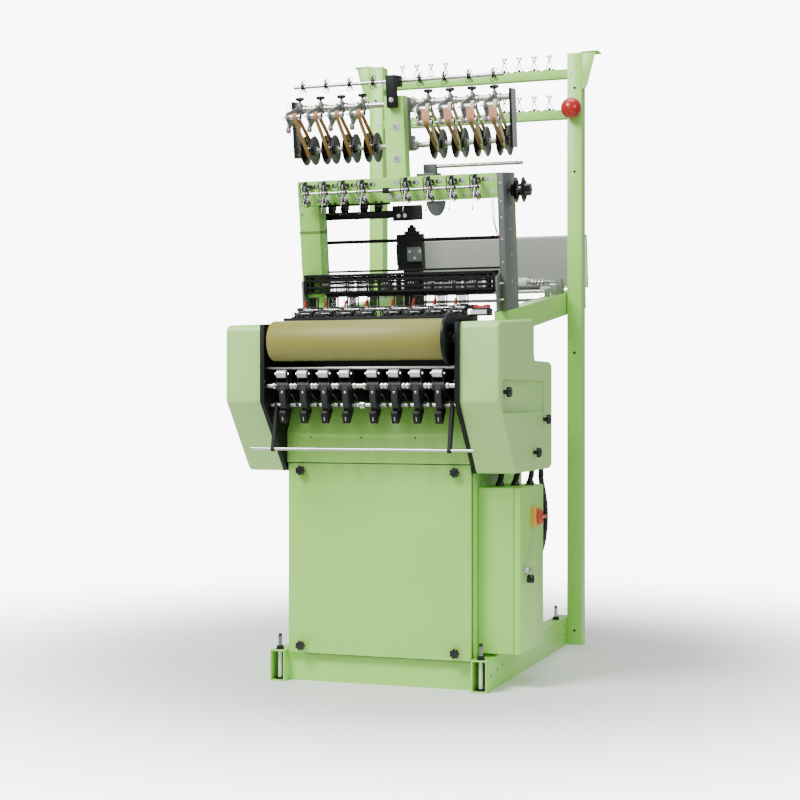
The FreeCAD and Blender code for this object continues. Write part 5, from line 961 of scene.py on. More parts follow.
def build_harness():
    """The harness drive, the side plates and the two heald frames."""
    lean = (LEANING,)
    dressed("harness_drive", "dark", 0.0015)
    dressed("harness_plates", "grey", 0.0012)
    piece("drive_face_plate", "frame", "grey",
          (prism, [(-0.0145, 0.163), (0.0385, 0.163), (0.0385, 0.205), (0.032, 0.211), (-0.0145, 0.211)],
              "y", 0.102, 0.1032), edge=0.0006, places=lean)
    bolts = bmesh.new()
    for x, z in ((-0.005, 0.196), (0.03, 0.196), (0.012, 0.174)):
        socket_screw(bolts, (x, 0.1022, z), 0.0036, 0.002)
    for x in (-0.012, 0.01):
        socket_screw(bolts, (x, 0.025, 0.318), 0.005, 0.0024)
    settle("drive_face_screws", bolts, "frame", "steel", places=lean)
    piece("drive_fittings", "frame", "black",
          (block, (-0.026, 0.112, 0.253), (0.018, 0.15, 0.264), (-0.016, 0.118, 0.263),
              (0.008, 0.144, 0.278)),
          (turned, "z", (-0.004, 0.131, 0.278), ((0, 0.008), (0.006, 0.008), (0.0075, 0.006)), 6),
          (block, (-0.056, 0.112, 0.15), (-0.05, 0.15, 0.22), (0.015, 0.113, -0.04), (0.024, 0.148, 0.14)),
          edge=0.001, places=lean)

    for name, y, body in (("front", -0.046, "heald_front"), ("rear", -0.03, "heald_rear")):
        slats = bmesh.new()
        for row in range(2):
            back = y + 0.01 * row
            for low, high in ((0.07, 0.077), (0.086, 0.093), (0.109, 0.117), (0.125, 0.133)):
                block(slats, (-0.3315, back, low), (0.3315, back + 0.003, high))
        for x in (-0.3315, 0.3215):
            block(slats, (x, y, 0.07), (x + 0.01, y + 0.013, 0.133))
        for x in (-0.315, -0.006, 0.305):
            block(slats, (x, y + 0.0004, 0.074), (x + 0.006, y + 0.0126, 0.129))
        settle(f"heald_slats_{name}", slats, body, "dark", edge=0.0003, replaces=(f"heald_frame_{name}",),
                places=lean)
        healds = bmesh.new()
        for head in HEADS:
            for step in range(-6, 7):
                x = head + step * 0.0042
                for back in (y + 0.0008, y + 0.0108):
                    block(healds, (x - 0.0005, back, 0.0745), (x + 0.0005, back + 0.001, 0.1285))
            block(healds, (head - 0.029, y + 0.0002, 0.099), (head + 0.029, y + 0.0022, 0.102))
        settle(f"heald_wires_{name}", healds, body, "black", places=lean)
        eyes = bmesh.new()
        for head in HEADS:
            for step in (-2, 0, 2):
                block(eyes, (head + step * 0.0042 - 0.0012, y - 0.0002, 0.0965),
                        (head + step * 0.0042 + 0.0012, y + 0.0008, 0.103))
        settle(f"heald_eyes_{name}", eyes, body, "steel", edge=0.0002, places=lean)

    rack = bmesh.new()
    for y, z in ((-0.012, 0.056), (-0.012, 0.116), (0.005, 0.124), (0.005, 0.06), (0.07, 0.133),
            (0.07, 0.095), (0.085, 0.05)):
        low = -0.276 if y < 0.06 else -0.304
        block(rack, (low, y, z), (0.33, y + 0.0035, z + 0.007))
    for y, z in ((-0.0115, 0.06), (0.0055, 0.064)):
        for index in range(17):
            x = -0.27 + index * 0.0372
            block(rack, (x, y, z), (x + 0.004, y + 0.0025, z + 0.06))
    settle("harness_cross_slats", rack, "frame", "dark", edge=0.0003, places=lean)
    ends = bmesh.new()
    for z in (0.056, 0.116):
        for x in (-0.27, 0.32):
            turned(ends, "y", (x, -0.012, z + 0.0035), ((0, 0.005), (-0.002, 0.005), (-0.0026, 0.004)), 6)
    for z in (0.038, 0.09):
        turned(ends, "x", (0.3398, -0.03, z), ((0, 0.005), (0.004, 0.005), (0.012, 0.0034),
                (0.014, 0.0034)), 12)
    settle("harness_end_bolts", ends, "frame", "steel", places=lean)
    springs = bmesh.new()
    for head in HEADS:
        for shift in (-0.016, 0.0, 0.016):
            wire_along(springs, [(head + shift, -0.02, 0.028)] + coil_points((head + shift, -0.02, 0.03),
                    (head + shift, -0.02, 0.054), 0.002, 7, 6) + [(head + shift, -0.02, 0.057)], 0.0004, 4)
    settle("heald_springs", springs, "frame", "wire", smooth=40, places=lean)


UNITS = [-0.306, -0.239, -0.172, -0.105, 0.045, 0.123, 0.201, 0.279]


def build_tension():
    """The weft tension units on their shaft, with springs, eyelets and feeler wires."""
    places = [at(x, base=LEANING) for x in UNITS]
    y, z = (-0.058, 0.402)

    piece("tension_rod", "frame", "turned",
          (turned, "x", (-0.299, y, z), ((0, 0.004), (0.001, 0.0049), (0.597, 0.0049), (0.598, 0.004)), 20),
          replaces=("tension_units",), places=(LEANING,))
    piece("tension_rod_bearing", "frame", "black",
          (block, (-0.033, y - 0.008, z - 0.009), (-0.0125, y + 0.008, z + 0.009),
              (-0.03, y + 0.006, z - 0.006), (-0.015, -0.015, z + 0.006)),
          (turned, "y", (-0.0225, y - 0.008, z), ((0, 0.005), (-0.003, 0.005), (-0.0036, 0.004)), 6),
          edge=0.0008, places=(LEANING,))

    outline = [(-0.01, z + 0.031), (0.001, z + 0.031), (0.01, z + 0.024), (0.01, z + 0.012),
            (0.004, z + 0.006), (0.004, z - 0.01), (0.01, z - 0.018), (0.01, z - 0.03), (0.003, z - 0.0315),
            (-0.01, z - 0.026)]
    piece("tension_plates", "frame", "black",
          (prism, outline, "y", y - 0.001, y + 0.005),
          (block, (-0.0048, y + 0.003, z + 0.02), (0.0048, -0.0152, z + 0.03),
              (-0.013, y + 0.001, z + 0.012), (0.009, y + 0.006, z + 0.021), (-0.006, y - 0.001, z + 0.029),
              (0.006, y + 0.006, z + 0.04)),
          (turned, "y", (0.003, y + 0.002, z - 0.03), ((0, 0.009), (-0.005, 0.009), (-0.006, 0.0075)), 18),
          (turned, "y", (0.0, y - 0.001, z + 0.021), ((0, 0.0055), (-0.004, 0.0055), (-0.0045, 0.0046)), 6),
          edge=0.0006, places=places)

    piece("tension_levers", "frame", "wire",
          (turned, "x", (-0.0088, y, z), ((0, 0.005), (0, 0.0078), (0.0008, 0.0086), (0.006, 0.0086),
              (0.0066, 0.0078)), 20),
          (turned, "x", (0.0042, y, z), ((0, 0.005), (0, 0.0078), (0.0008, 0.0086), (0.004, 0.0086),
              (0.0046, 0.0078)), 20),
          (block, (-0.003, y - 0.0068, z + 0.005), (0.003, y - 0.0018, z + 0.025),
              (0.001, y - 0.0064, z - 0.029), (0.005, y - 0.002, z - 0.006),
              (-0.009, y - 0.0056, z - 0.017), (0.001, y - 0.0026, z - 0.013)),
          (turned, "y", (-0.006, y + 0.002, z - 0.024), ((0, 0.0062), (-0.01, 0.0062), (-0.011, 0.005)),
              18), edge=0.0005, places=places)

    piece("tension_discs", "frame", "turned",
          (turned, "y", (0.012, y - 0.0072, z - 0.022), ((0.012, 0.0025), (0.006, 0.0028), (0.0055, 0.0078),
              (0.003, 0.0084), (0.002, 0.004), (0.0, 0.004), (-0.001, 0.0084), (-0.0035, 0.0078),
              (-0.004, 0.003), (-0.0088, 0.003)), 20), places=places)

    piece("tension_springs", "frame", "wire",
          (wire_along, coil_points((0.012, y - 0.011, z - 0.022), (0.012, y - 0.0185, z - 0.022),
              0.0042, 5, 8), 0.0006, 5),
          (wire_along, [(-0.006, y - 0.004, z + 0.026)] + coil_points((-0.006, y - 0.004, z + 0.024),
              (-0.006, y - 0.004, z - 0.01), 0.0034, 11, 7) + [(-0.006, y - 0.004, z - 0.0125)], 0.0008, 5),
          smooth=40, places=places)

    eyes = bmesh.new()
    for spot in ((0.0035, y - 0.0066, z - 0.034), (-0.0085, y - 0.003, z + 0.032)):
        ring_of(eyes, spot, 0.0032, 0.0013, "xz")
    settle("tension_eyelets", eyes, "frame", "white", smooth=40, places=places)

    piece("tension_wires", "frame", "wire",
          (wire_along, [(0.0035, y - 0.004, z - 0.02), (0.0035, y - 0.0062, z - 0.0305)], 0.0008, 5),
          (wire_along, [(-0.0085, y + 0.001, z + 0.02), (-0.0085, y - 0.003, z + 0.029)], 0.0008, 5),
          (wire_along, [(0.003, y - 0.002, z + 0.029), (0.006, y - 0.01, z + 0.033),
              (0.012, y - 0.013, z + 0.025), (0.015, y - 0.012, z + 0.01), (0.011, y - 0.01, z - 0.002)],
              0.0008, 5),
          (wire_along, [(-0.0095, y - 0.006, z - 0.006), (-0.0135, y - 0.012, z - 0.02),
              (-0.01, y - 0.015, z - 0.033), (-0.006, y - 0.015, z - 0.04)], 0.0008, 5),
          smooth=40, places=places)

    piece("tension_hooks", "frame", "bent",
          (wire_along, [(-0.004, y - 0.006, z + 0.03), (-0.009, y - 0.012, z + 0.038),
              (-0.014, y - 0.013, z + 0.03), (-0.012, y - 0.012, z + 0.012), (-0.015, y - 0.012, z - 0.002),
              (-0.009, y - 0.013, z - 0.014)], 0.002, 6),
          (wire_along, arc_points((0.0125, y - 0.012, z - 0.033), 0.008, 170, -100, 12,
              "xz") + [(0.006, y - 0.012, z - 0.045)], 0.002, 6),
          (wire_along, arc_points((0.013, y - 0.006, z + 0.018), 0.007, 160, -120, 10,
              "xz") + [(0.015, y - 0.009, z - 0.006)], 0.0018, 6),
          (block, (-0.012, y + 0.001, z - 0.033), (0.013, y + 0.005, z - 0.026),
              (-0.004, y - 0.004, z + 0.008), (0.013, y + 0.003, z + 0.015)), smooth=40, places=places)

    piece("feeler_wires", "tension_feelers", "wire",
          (turned, "x", (-0.0016, y, z), ((0, 0.0052), (0, 0.007), (0.0004, 0.0078), (0.0028, 0.0078),
              (0.0032, 0.007), (0.0032, 0.0052)), 16),
          (wire_along, [(0, y - 0.006, z - 0.002), (0, y - 0.011, z - 0.012),
              (0, y - 0.034, z - 0.062)] + arc_points((0, y - 0.0362, z - 0.0682), 0.0046, 80, -220, 9,
              "yz"), 0.0012, 7), smooth=40, replaces=("tension_feelers",), places=places)


def ring_of(mesh, centre, radius, thick, plane, sides=14, around=6):
    """A round eyelet: a closed ring of round section."""
    rows = []
    for index in range(sides):
        angle = 2 * math.pi * index / sides
        out = {"xz": Vector((math.cos(angle), 0, math.sin(angle))),
               "xy": Vector((math.cos(angle), math.sin(angle), 0)),
               "yz": Vector((0, math.cos(angle), math.sin(angle)))}[plane]
        across = {"xz": Vector((0, 1, 0)), "xy": Vector((0, 0, 1)), "yz": Vector((1, 0, 0))}[plane]
        rows.append([mesh.verts.new(Vector(centre)
                                    + out * (radius + thick * math.cos(2 * math.pi * side / around))
                                    + across * thick * math.sin(2 * math.pi * side / around))
                     for side in range(around)])
    for row, following in zip(rows, rows[1:] + rows[:1]):
        for side in range(around):
            beyond = (side + 1) % around
            mesh.faces.new((row[side], row[beyond], following[beyond], following[side]))


GROOVES = [side * (first + 0.075 * index) for side, first in ((-1, 0.11), (1, 0.12)) for index in range(4)]
DRIVE = (0.078, 0.547)     # the feeder's drive shaft in the leaning frame: back, up
SHAFT = (0.078, 0.686)     # its upper shaft
IDLERS = (-0.04, 0.656, 0.613)     # the idlers: back, high, low


def pulley_dish(mesh, x, facing):
    """One pressed disc of a feeder pulley: a shallow cone that opens away from the belt."""
    turned(mesh, "x", (x, *DRIVE), [(facing * run, radius) for run, radius in ((-0.0072, 0.0095),
            (-0.0072, 0.0205), (-0.0078, 0.024), (-0.014, 0.047), (-0.0152, 0.0492), (-0.0163, 0.0497),
            (-0.0176, 0.049), (-0.0174, 0.0465), (-0.0112, 0.0225), (-0.0112, 0.016), (-0.0155, 0.015),
            (-0.0155, 0.0095))], 40)


def build_feeder():
    """The rubber feeder: shafts, pulleys, belts, idlers and clamps, and the spool beside it."""
    places = [at(x, base=LEANING) for x in GROOVES]
    left = places[:4]
    right = places[4:]

    dishes = bmesh.new()
    for facing in (-1, 1):
        pulley_dish(dishes, 0.0, facing)
    turned(dishes, "x", (-0.0074, *DRIVE), ((0, 0.0222), (0.0148, 0.0222)), 32)
    settle("feeder_pulley_dishes", dishes, "feeder_pulleys",
            "gloss", smooth=40, replaces=("feeder_pulleys",), places=places)

    shaft = bmesh.new()
    for start, end in ((-0.3848, -0.03), (0.03, 0.3798)):
        turned(shaft, "x", (start, *DRIVE), ((0, 0.0078), (0.0012, 0.0089), (end - start - 0.0012, 0.0089),
                (end - start, 0.0078)), 28)
    turned(shaft, "x", (-0.033, *DRIVE), ((0, 0.0089), (0.066, 0.0089)), 28)
    for x in GROOVES:
        for step in (-0.025, 0.018):
            turned(shaft, "x", (x + step, *DRIVE), ((0, 0.012), (0.0008, 0.0134), (0.006, 0.0134),
                    (0.0068, 0.012)), 28)
            turned(shaft, "y", (x + step + 0.0034, DRIVE[0] - 0.0142, DRIVE[1]), ((0, 0.002),
                    (0.003, 0.002)), 6)
    settle("feeder_drive_rod", shaft, "feeder_pulleys", "turned", places=(LEANING,))

    frame_plates = bmesh.new()
    for low, high in ((-0.385, -0.3778), (0.3722, 0.38)):
        outline = [(0.0485, 0.523), (0.106, 0.523), (0.1075, 0.526), (0.1075, 0.707), (0.106, 0.7115),
                (0.05, 0.7115), (0.0485, 0.707)]
        prism(frame_plates, outline, "x", low, high)
    settle("feeder_end_plates", frame_plates, "frame", "sheet", edge=0.0008, replaces=("feeder_frame",),
            places=(LEANING,))
    piece("feeder_plate_edges", "frame", "dark",
          (prism, [(0.0481, 0.5228), (0.054, 0.5228), (0.054, 0.7118), (0.0481, 0.7118)],
              "x", 0.3716, 0.3726),
          (prism, [(0.0482, 0.5228), (0.0487, 0.5228), (0.0487, 0.7118), (0.0482, 0.7118)],
              "x", 0.3716, 0.3799),
          (block, (-0.3846, 0.0481, 0.5228), (-0.372, 0.0488, 0.7118)), places=(LEANING,))
    fixings = bmesh.new()
    for z in (DRIVE[1], SHAFT[1]):
        for x, way in ((0.3722, -1), (-0.3778, 1)):
            turned(fixings, "x", (x, DRIVE[0], z), ((0, 0.0165), (way * 0.004, 0.0165),
                    (way * 0.005, 0.015)), 28)
            for angle in (45, 135, 225, 315):
                spot = Vector((x + way * 0.0046, DRIVE[0] + 0.0125 * math.cos(math.radians(angle)),
                        z + 0.0125 * math.sin(math.radians(angle))))
                turned(fixings, "x", spot, ((0, 0.0018), (way * 0.0018, 0.0018)), 6)
    settle("feeder_plate_bearings", fixings, "frame", "turned", places=(LEANING,))

    rod = bmesh.new()
    turned(rod, "x", (-0.3848, *SHAFT), ((0, 0.0085), (0.0012, 0.0099), (0.7634, 0.0099), (0.7646, 0.0085)),
            28)
    for x in GROOVES:
        for step in (-0.05, -0.0145):
            turned(rod, "x", (x + step, *SHAFT), ((0, 0.0125), (0.0008, 0.0142), (0.007, 0.0142),
                    (0.0078, 0.0125)), 28)
    settle("feeder_upper_rod", rod, "frame", "turned", places=(LEANING,))
    piece("feeder_bearing_blocks", "frame", "cast",
          (block, (-0.033, 0.031, 0.529), (0.033, 0.1038, 0.579), (-0.033, 0.031, 0.656),
              (0.033, 0.1038, 0.704), (-0.024, 0.031, 0.577), (0.024, 0.09, 0.658)),
          edge=0.0015, places=(LEANING,))
    for name, x, way in (("left", -0.033, -1), ("right", 0.033, 1)):
        cap = bmesh.new()
        for z in (DRIVE[1], SHAFT[1]):
            turned(cap, "x", (x, DRIVE[0], z), ((0, 0.019), (way * 0.006, 0.019), (way * 0.0072, 0.0175),
                    (way * 0.015, 0.015), (way * 0.015, 0.0092)), 28)
        settle(f"feeder_bearing_cap_{name}", cap, "frame", "turned", places=(LEANING,))

    clamp = bmesh.new()
    turned(clamp, "x", (-0.0333, *SHAFT), ((0, 0.0102), (0, 0.0165), (0.001, 0.0178), (0.0125, 0.0178),
            (0.0135, 0.0165), (0.0135, 0.0102)), 28)
    outline = [(0.078, 0.694), (0.06, 0.696), (-0.025, 0.675), (-0.046, 0.672), (-0.053, 0.664),
            (-0.053, 0.648), (-0.041, 0.638), (-0.039, 0.627), (-0.05, 0.62), (-0.05, 0.606),
            (-0.033, 0.603), (-0.023, 0.618), (0.01, 0.64), (0.064, 0.674), (0.078, 0.676)]
    prism(clamp, outline, "x", -0.032, -0.0262)
    turned(clamp, "x", (-0.0335, IDLERS[0], IDLERS[1]), ((0, 0.008), (0.0012, 0.0092), (0.012, 0.0092)), 20)
    turned(clamp, "x", (-0.0335, IDLERS[0], IDLERS[2]), ((0, 0.008), (0.0012, 0.0092), (0.012, 0.0092)), 20)
    block(clamp, (-0.0315, 0.06, 0.685), (-0.0215, 0.078, 0.706))
    turned(clamp, "z", (-0.0265, 0.069, 0.702), ((0, 0.006), (0.006, 0.006), (0.0062, 0.0042),
            (0.012, 0.0042)), 16)
    turned(clamp, "y", (-0.0265, 0.056, 0.686), ((0, 0.0042), (0.003, 0.0046), (0.008, 0.0046)), 6)
    settle("feeder_clamp_castings", clamp, "frame", "cast", edge=0.0008, replaces=("feeder_clamps",),
            places=places)

    piece("feeder_clamp_knobs", "frame", "gloss",
          (turned, "z", (-0.0265, 0.069, 0.7128), ((0, 0.0055), (0.0012, 0.008), (0.003, 0.0125),
              (0.0044, 0.0148), (0.009, 0.0152), (0.012, 0.0138), (0.0132, 0.008), (0.0126, 0.003)), 24),
          smooth=40, places=places)

    piece("feeder_guard_wires", "frame", "wire",
          (wire_along, [(-0.029, -0.038, 0.674)] + arc_points((-0.029, -0.026, 0.69), 0.015, 190, 20, 9,
              "yz") + [(-0.029, -0.008, 0.68)], 0.0009, 6), smooth=40, places=left)

    for body, z, rows, height in (("idlers_high", IDLERS[1], places, "high"), ("idlers_low", IDLERS[2],
            right, "low")):
        piece(f"idler_rolls_{height}", body, "turned",
              (turned, "x", (-0.019, IDLERS[0], z), ((0, 0.006), (0, 0.0098), (0.0008, 0.0109),
                  (0.003, 0.0109), (0.0034, 0.01), (0.0346, 0.01), (0.035, 0.0109), (0.0372, 0.0109),
                  (0.038, 0.0098), (0.038, 0.006), (0.0364, 0.0054)), 28),
              (turned, "x", (-0.0468, IDLERS[0], z), ((0, 0.0022), (0.0006, 0.0029), (0.029, 0.0029)), 14),
              replaces=(body,), places=rows)

    loop = belt_band(IDLERS[1], 0.0, 0.013)
    settle("belts_left", loop, "frame", "belt", smooth=40, replaces=("feeder_belts",), places=left)
    loop = belt_band(IDLERS[2], 0.0, 0.013)
    settle("belts_right", loop, "frame", "belt_dark", smooth=40, places=right)
    webs = bmesh.new()
    for index in range(17):
        share = index / 16
        z = IDLERS[2] + (IDLERS[1] - IDLERS[2]) * share
        y = IDLERS[0] - 0.0112 - 0.0016 * math.sin(math.pi * share)
        made = [webs.verts.new((x, y, z)) for x in (-0.013, 0.013)]
        if index:
            webs.faces.new((last[0], last[1], made[1], made[0]))
        last = made
    thick = bmesh.ops.extrude_face_region(webs, geom=webs.faces[:])
    bmesh.ops.translate(webs, verts=[item
            for item in thick["geom"] if isinstance(item, bmesh.types.BMVert)], vec=(0, 0.0008, 0))
    settle("tape_webs", webs, "frame", "tape", smooth=40, places=right)
    behind = belt_band(IDLERS[1], 0.0045, 0.011)
    settle("tape_drops", behind, "frame", "cream", smooth=40, places=[at(0.0075, base=place)
            for place in right])

    dressed("spool", "gloss", 0.0008)
    rings = bmesh.new()
    centre = middle("spool")
    for shift in (-0.013, 0.013):
        turned(rings, "x", centre + Vector((shift - 0.0008, 0, 0)), ((0, 0.03), (0.0016, 0.03)), 32)
    settle("spool_rings", rings, "spool", "dark")

    build_top_rod()


def belt_band(top, lift, width):
    """A flat belt round one idler and its pulley's hub, as the tangent loop."""
    start = Vector((0, IDLERS[0], top))
    end = Vector((0, *DRIVE))
    small, large = (0.0115 + lift, 0.0243 + lift)
    along = (end - start).normalized()
    distance = (end - start).length
    across = Vector((0, -along.z, along.y))
    lean = math.asin((large - small) / distance)
    loop = []
    for centre, radius, first, last, count in ((start, small, 90 + math.degrees(lean),
            270 - math.degrees(lean), 12), (end, large, -90 - math.degrees(lean), 90 + math.degrees(lean),
            16)):
        for index in range(count + 1):
            angle = math.radians(first + (last - first) * index / count)
            loop.append((centre, along * math.cos(angle) + across * math.sin(angle), radius))
    mesh = bmesh.new()
    rows = []
    for centre, way, radius in loop:
        rows.append([mesh.verts.new(centre + way * (radius + grow) + Vector((x, 0, 0)))
                for grow, x in ((0, -width / 2), (0, width / 2), (0.0018, width / 2),
                (0.0018, -width / 2))])
    for row, following in zip(rows, rows[1:] + rows[:1]):
        for corner in range(4):
            beyond = (corner + 1) % 4
            mesh.faces.new((row[corner], row[beyond], following[beyond], following[corner]))
    return mesh


def build_top_rod():
    """The rod over the feeder, its holder and its wire eyelets."""
    piece("top_rod_bar", "frame", "turned",
          (turned, "x", (-0.3628, 0.028, 0.756), ((0, 0.005), (0.001, 0.0059), (0.7246, 0.0059),
              (0.7256, 0.005)), 24), replaces=("top_rod",), places=(LEANING,))
    piece("top_rod_holder", "frame", "dark",
          (block, (-0.0165, -0.035, 0.668), (0.0165, -0.0135, 0.772), (-0.0165, -0.015, 0.7365),
              (0.0165, 0.0385, 0.772)), edge=0.0012, places=(LEANING,))
    piece("top_rod_screw", "frame", "steel",
          (turned, "y", (0.0, -0.035, 0.692), ((0, 0.0085), (-0.001, 0.0085), (-0.0012, 0.0068),
              (-0.0048, 0.0064), (-0.0052, 0.0052), (-0.003, 0.003)), 6), places=(LEANING,))
    eyelet = bmesh.new()
    wire_along(eyelet, coil_points((-0.006, 0.028, 0.756), (0.006, 0.028, 0.756), 0.0076, 3, 10), 0.0014, 6)
    for way in (-1, 1):
        wire_along(eyelet, [Vector((0.006 * way, 0.028, 0.756 + 0.0068 * way))]
                + arc_points((0.004 * way, 0.026, 0.756 + 0.0155 * way), 0.0062, -90 * way, 270 * way, 15,
                "xz"), 0.0014, 6)
        wire_along(eyelet, [Vector((-0.006 * way, 0.028, 0.756 + 0.0068 * way))]
                + arc_points((-0.006 * way, 0.031, 0.756 + 0.0145 * way), 0.0055, 90 * way, -200 * way, 13,
                "xz"), 0.0014, 6)
    spots = [at(side * (0.081 + index * 0.083), base=LEANING) for side in (-1, 1) for index in range(4)]
    settle("top_rod_eyelets", eyelet, "frame", "bent", smooth=40, places=spots)


def build_rack():
    """The yarn guides on the rack and the lamp."""
    low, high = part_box("yarn_guides")
    y = (low[1] + high[1]) / 2
    top = high[2]
    levels = (top - 0.215, top - 0.065)
    places = [at(side * (0.116 + 0.058 * index), y, base) for base in levels for side in (-1, 1)
            for index in range(4)]

    feet = bmesh.new()
    outline = [(-0.0225, -0.0045), (-0.019, -0.0095), (0.019, -0.0095), (0.0225, -0.0045), (0.0225, 0.0045),
            (0.019, 0.0095), (-0.019, 0.0095), (-0.0225, 0.0045)]
    prism(feet, outline, "z", 0.0, 0.003)
    for x in (-0.017, 0.017):
        turned(feet, "z", (x, 0.0, 0.003), ((0, 0.005), (0.0028, 0.005), (0.0034, 0.004)), 6)
    turned(feet, "z", (0.0, 0.0, 0.003), ((0, 0.0062), (0.003, 0.0062), (0.005, 0.0045), (0.0085, 0.0045),
            (0.0095, 0.003)), 14)
    settle("yarn_guide_feet", feet, "frame", "black", edge=0.0004, replaces=("yarn_guides",), places=places)
    wires = bmesh.new()
    for side in (-1, 1):
        wire_along(wires, [(side * 0.013, 0, 0.005), (side * 0.0095, 0, 0.013), (side * 0.0024, 0, 0.036),
                (side * 0.0026, 0, 0.044), (side * 0.0068, 0, 0.057), (side * 0.0084, 0, 0.06),
                (side * 0.0094, 0, 0.0585), (side * 0.006, 0, 0.05)], 0.0016, 6)
    ring_of(wires, (0, 0, 0.04), 0.0036, 0.0015, "xy", 10, 5)
    ring_of(wires, (0, 0, 0.053), 0.004, 0.0012, "xz", 10, 5)
    settle("yarn_guide_wires", wires, "frame", "bent", smooth=40, places=places)

    centre = middle("signal_lamp")
    low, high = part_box("signal_lamp")
    radius = (high[0] - low[0]) / 2 - 0.0003
    front, back = (low[1], high[1])
    dome = [(back - radius * 0.36 - radius - radius * math.sin(math.radians(angle)),
            radius * math.cos(math.radians(angle))) for angle in range(-60, 89, 8)]
    reach = dome[-1][0]
    dome = [(place - reach + front + 0.0004 - centre[1], wide) for place, wide in dome]
    piece("lamp_dome", "frame", "red",
          (turned, "y", (centre[0], centre[1], centre[2]), dome, 40), smooth=50, replaces=("signal_lamp",))
    piece("lamp_foot", "frame", "red",
          (turned, "y", (centre[0], back, centre[2]), ((0, radius * 0.78), (-0.003, radius * 0.8),
              (-0.01, radius * 0.8), (-0.012, radius * 0.72)), 36), smooth=40)


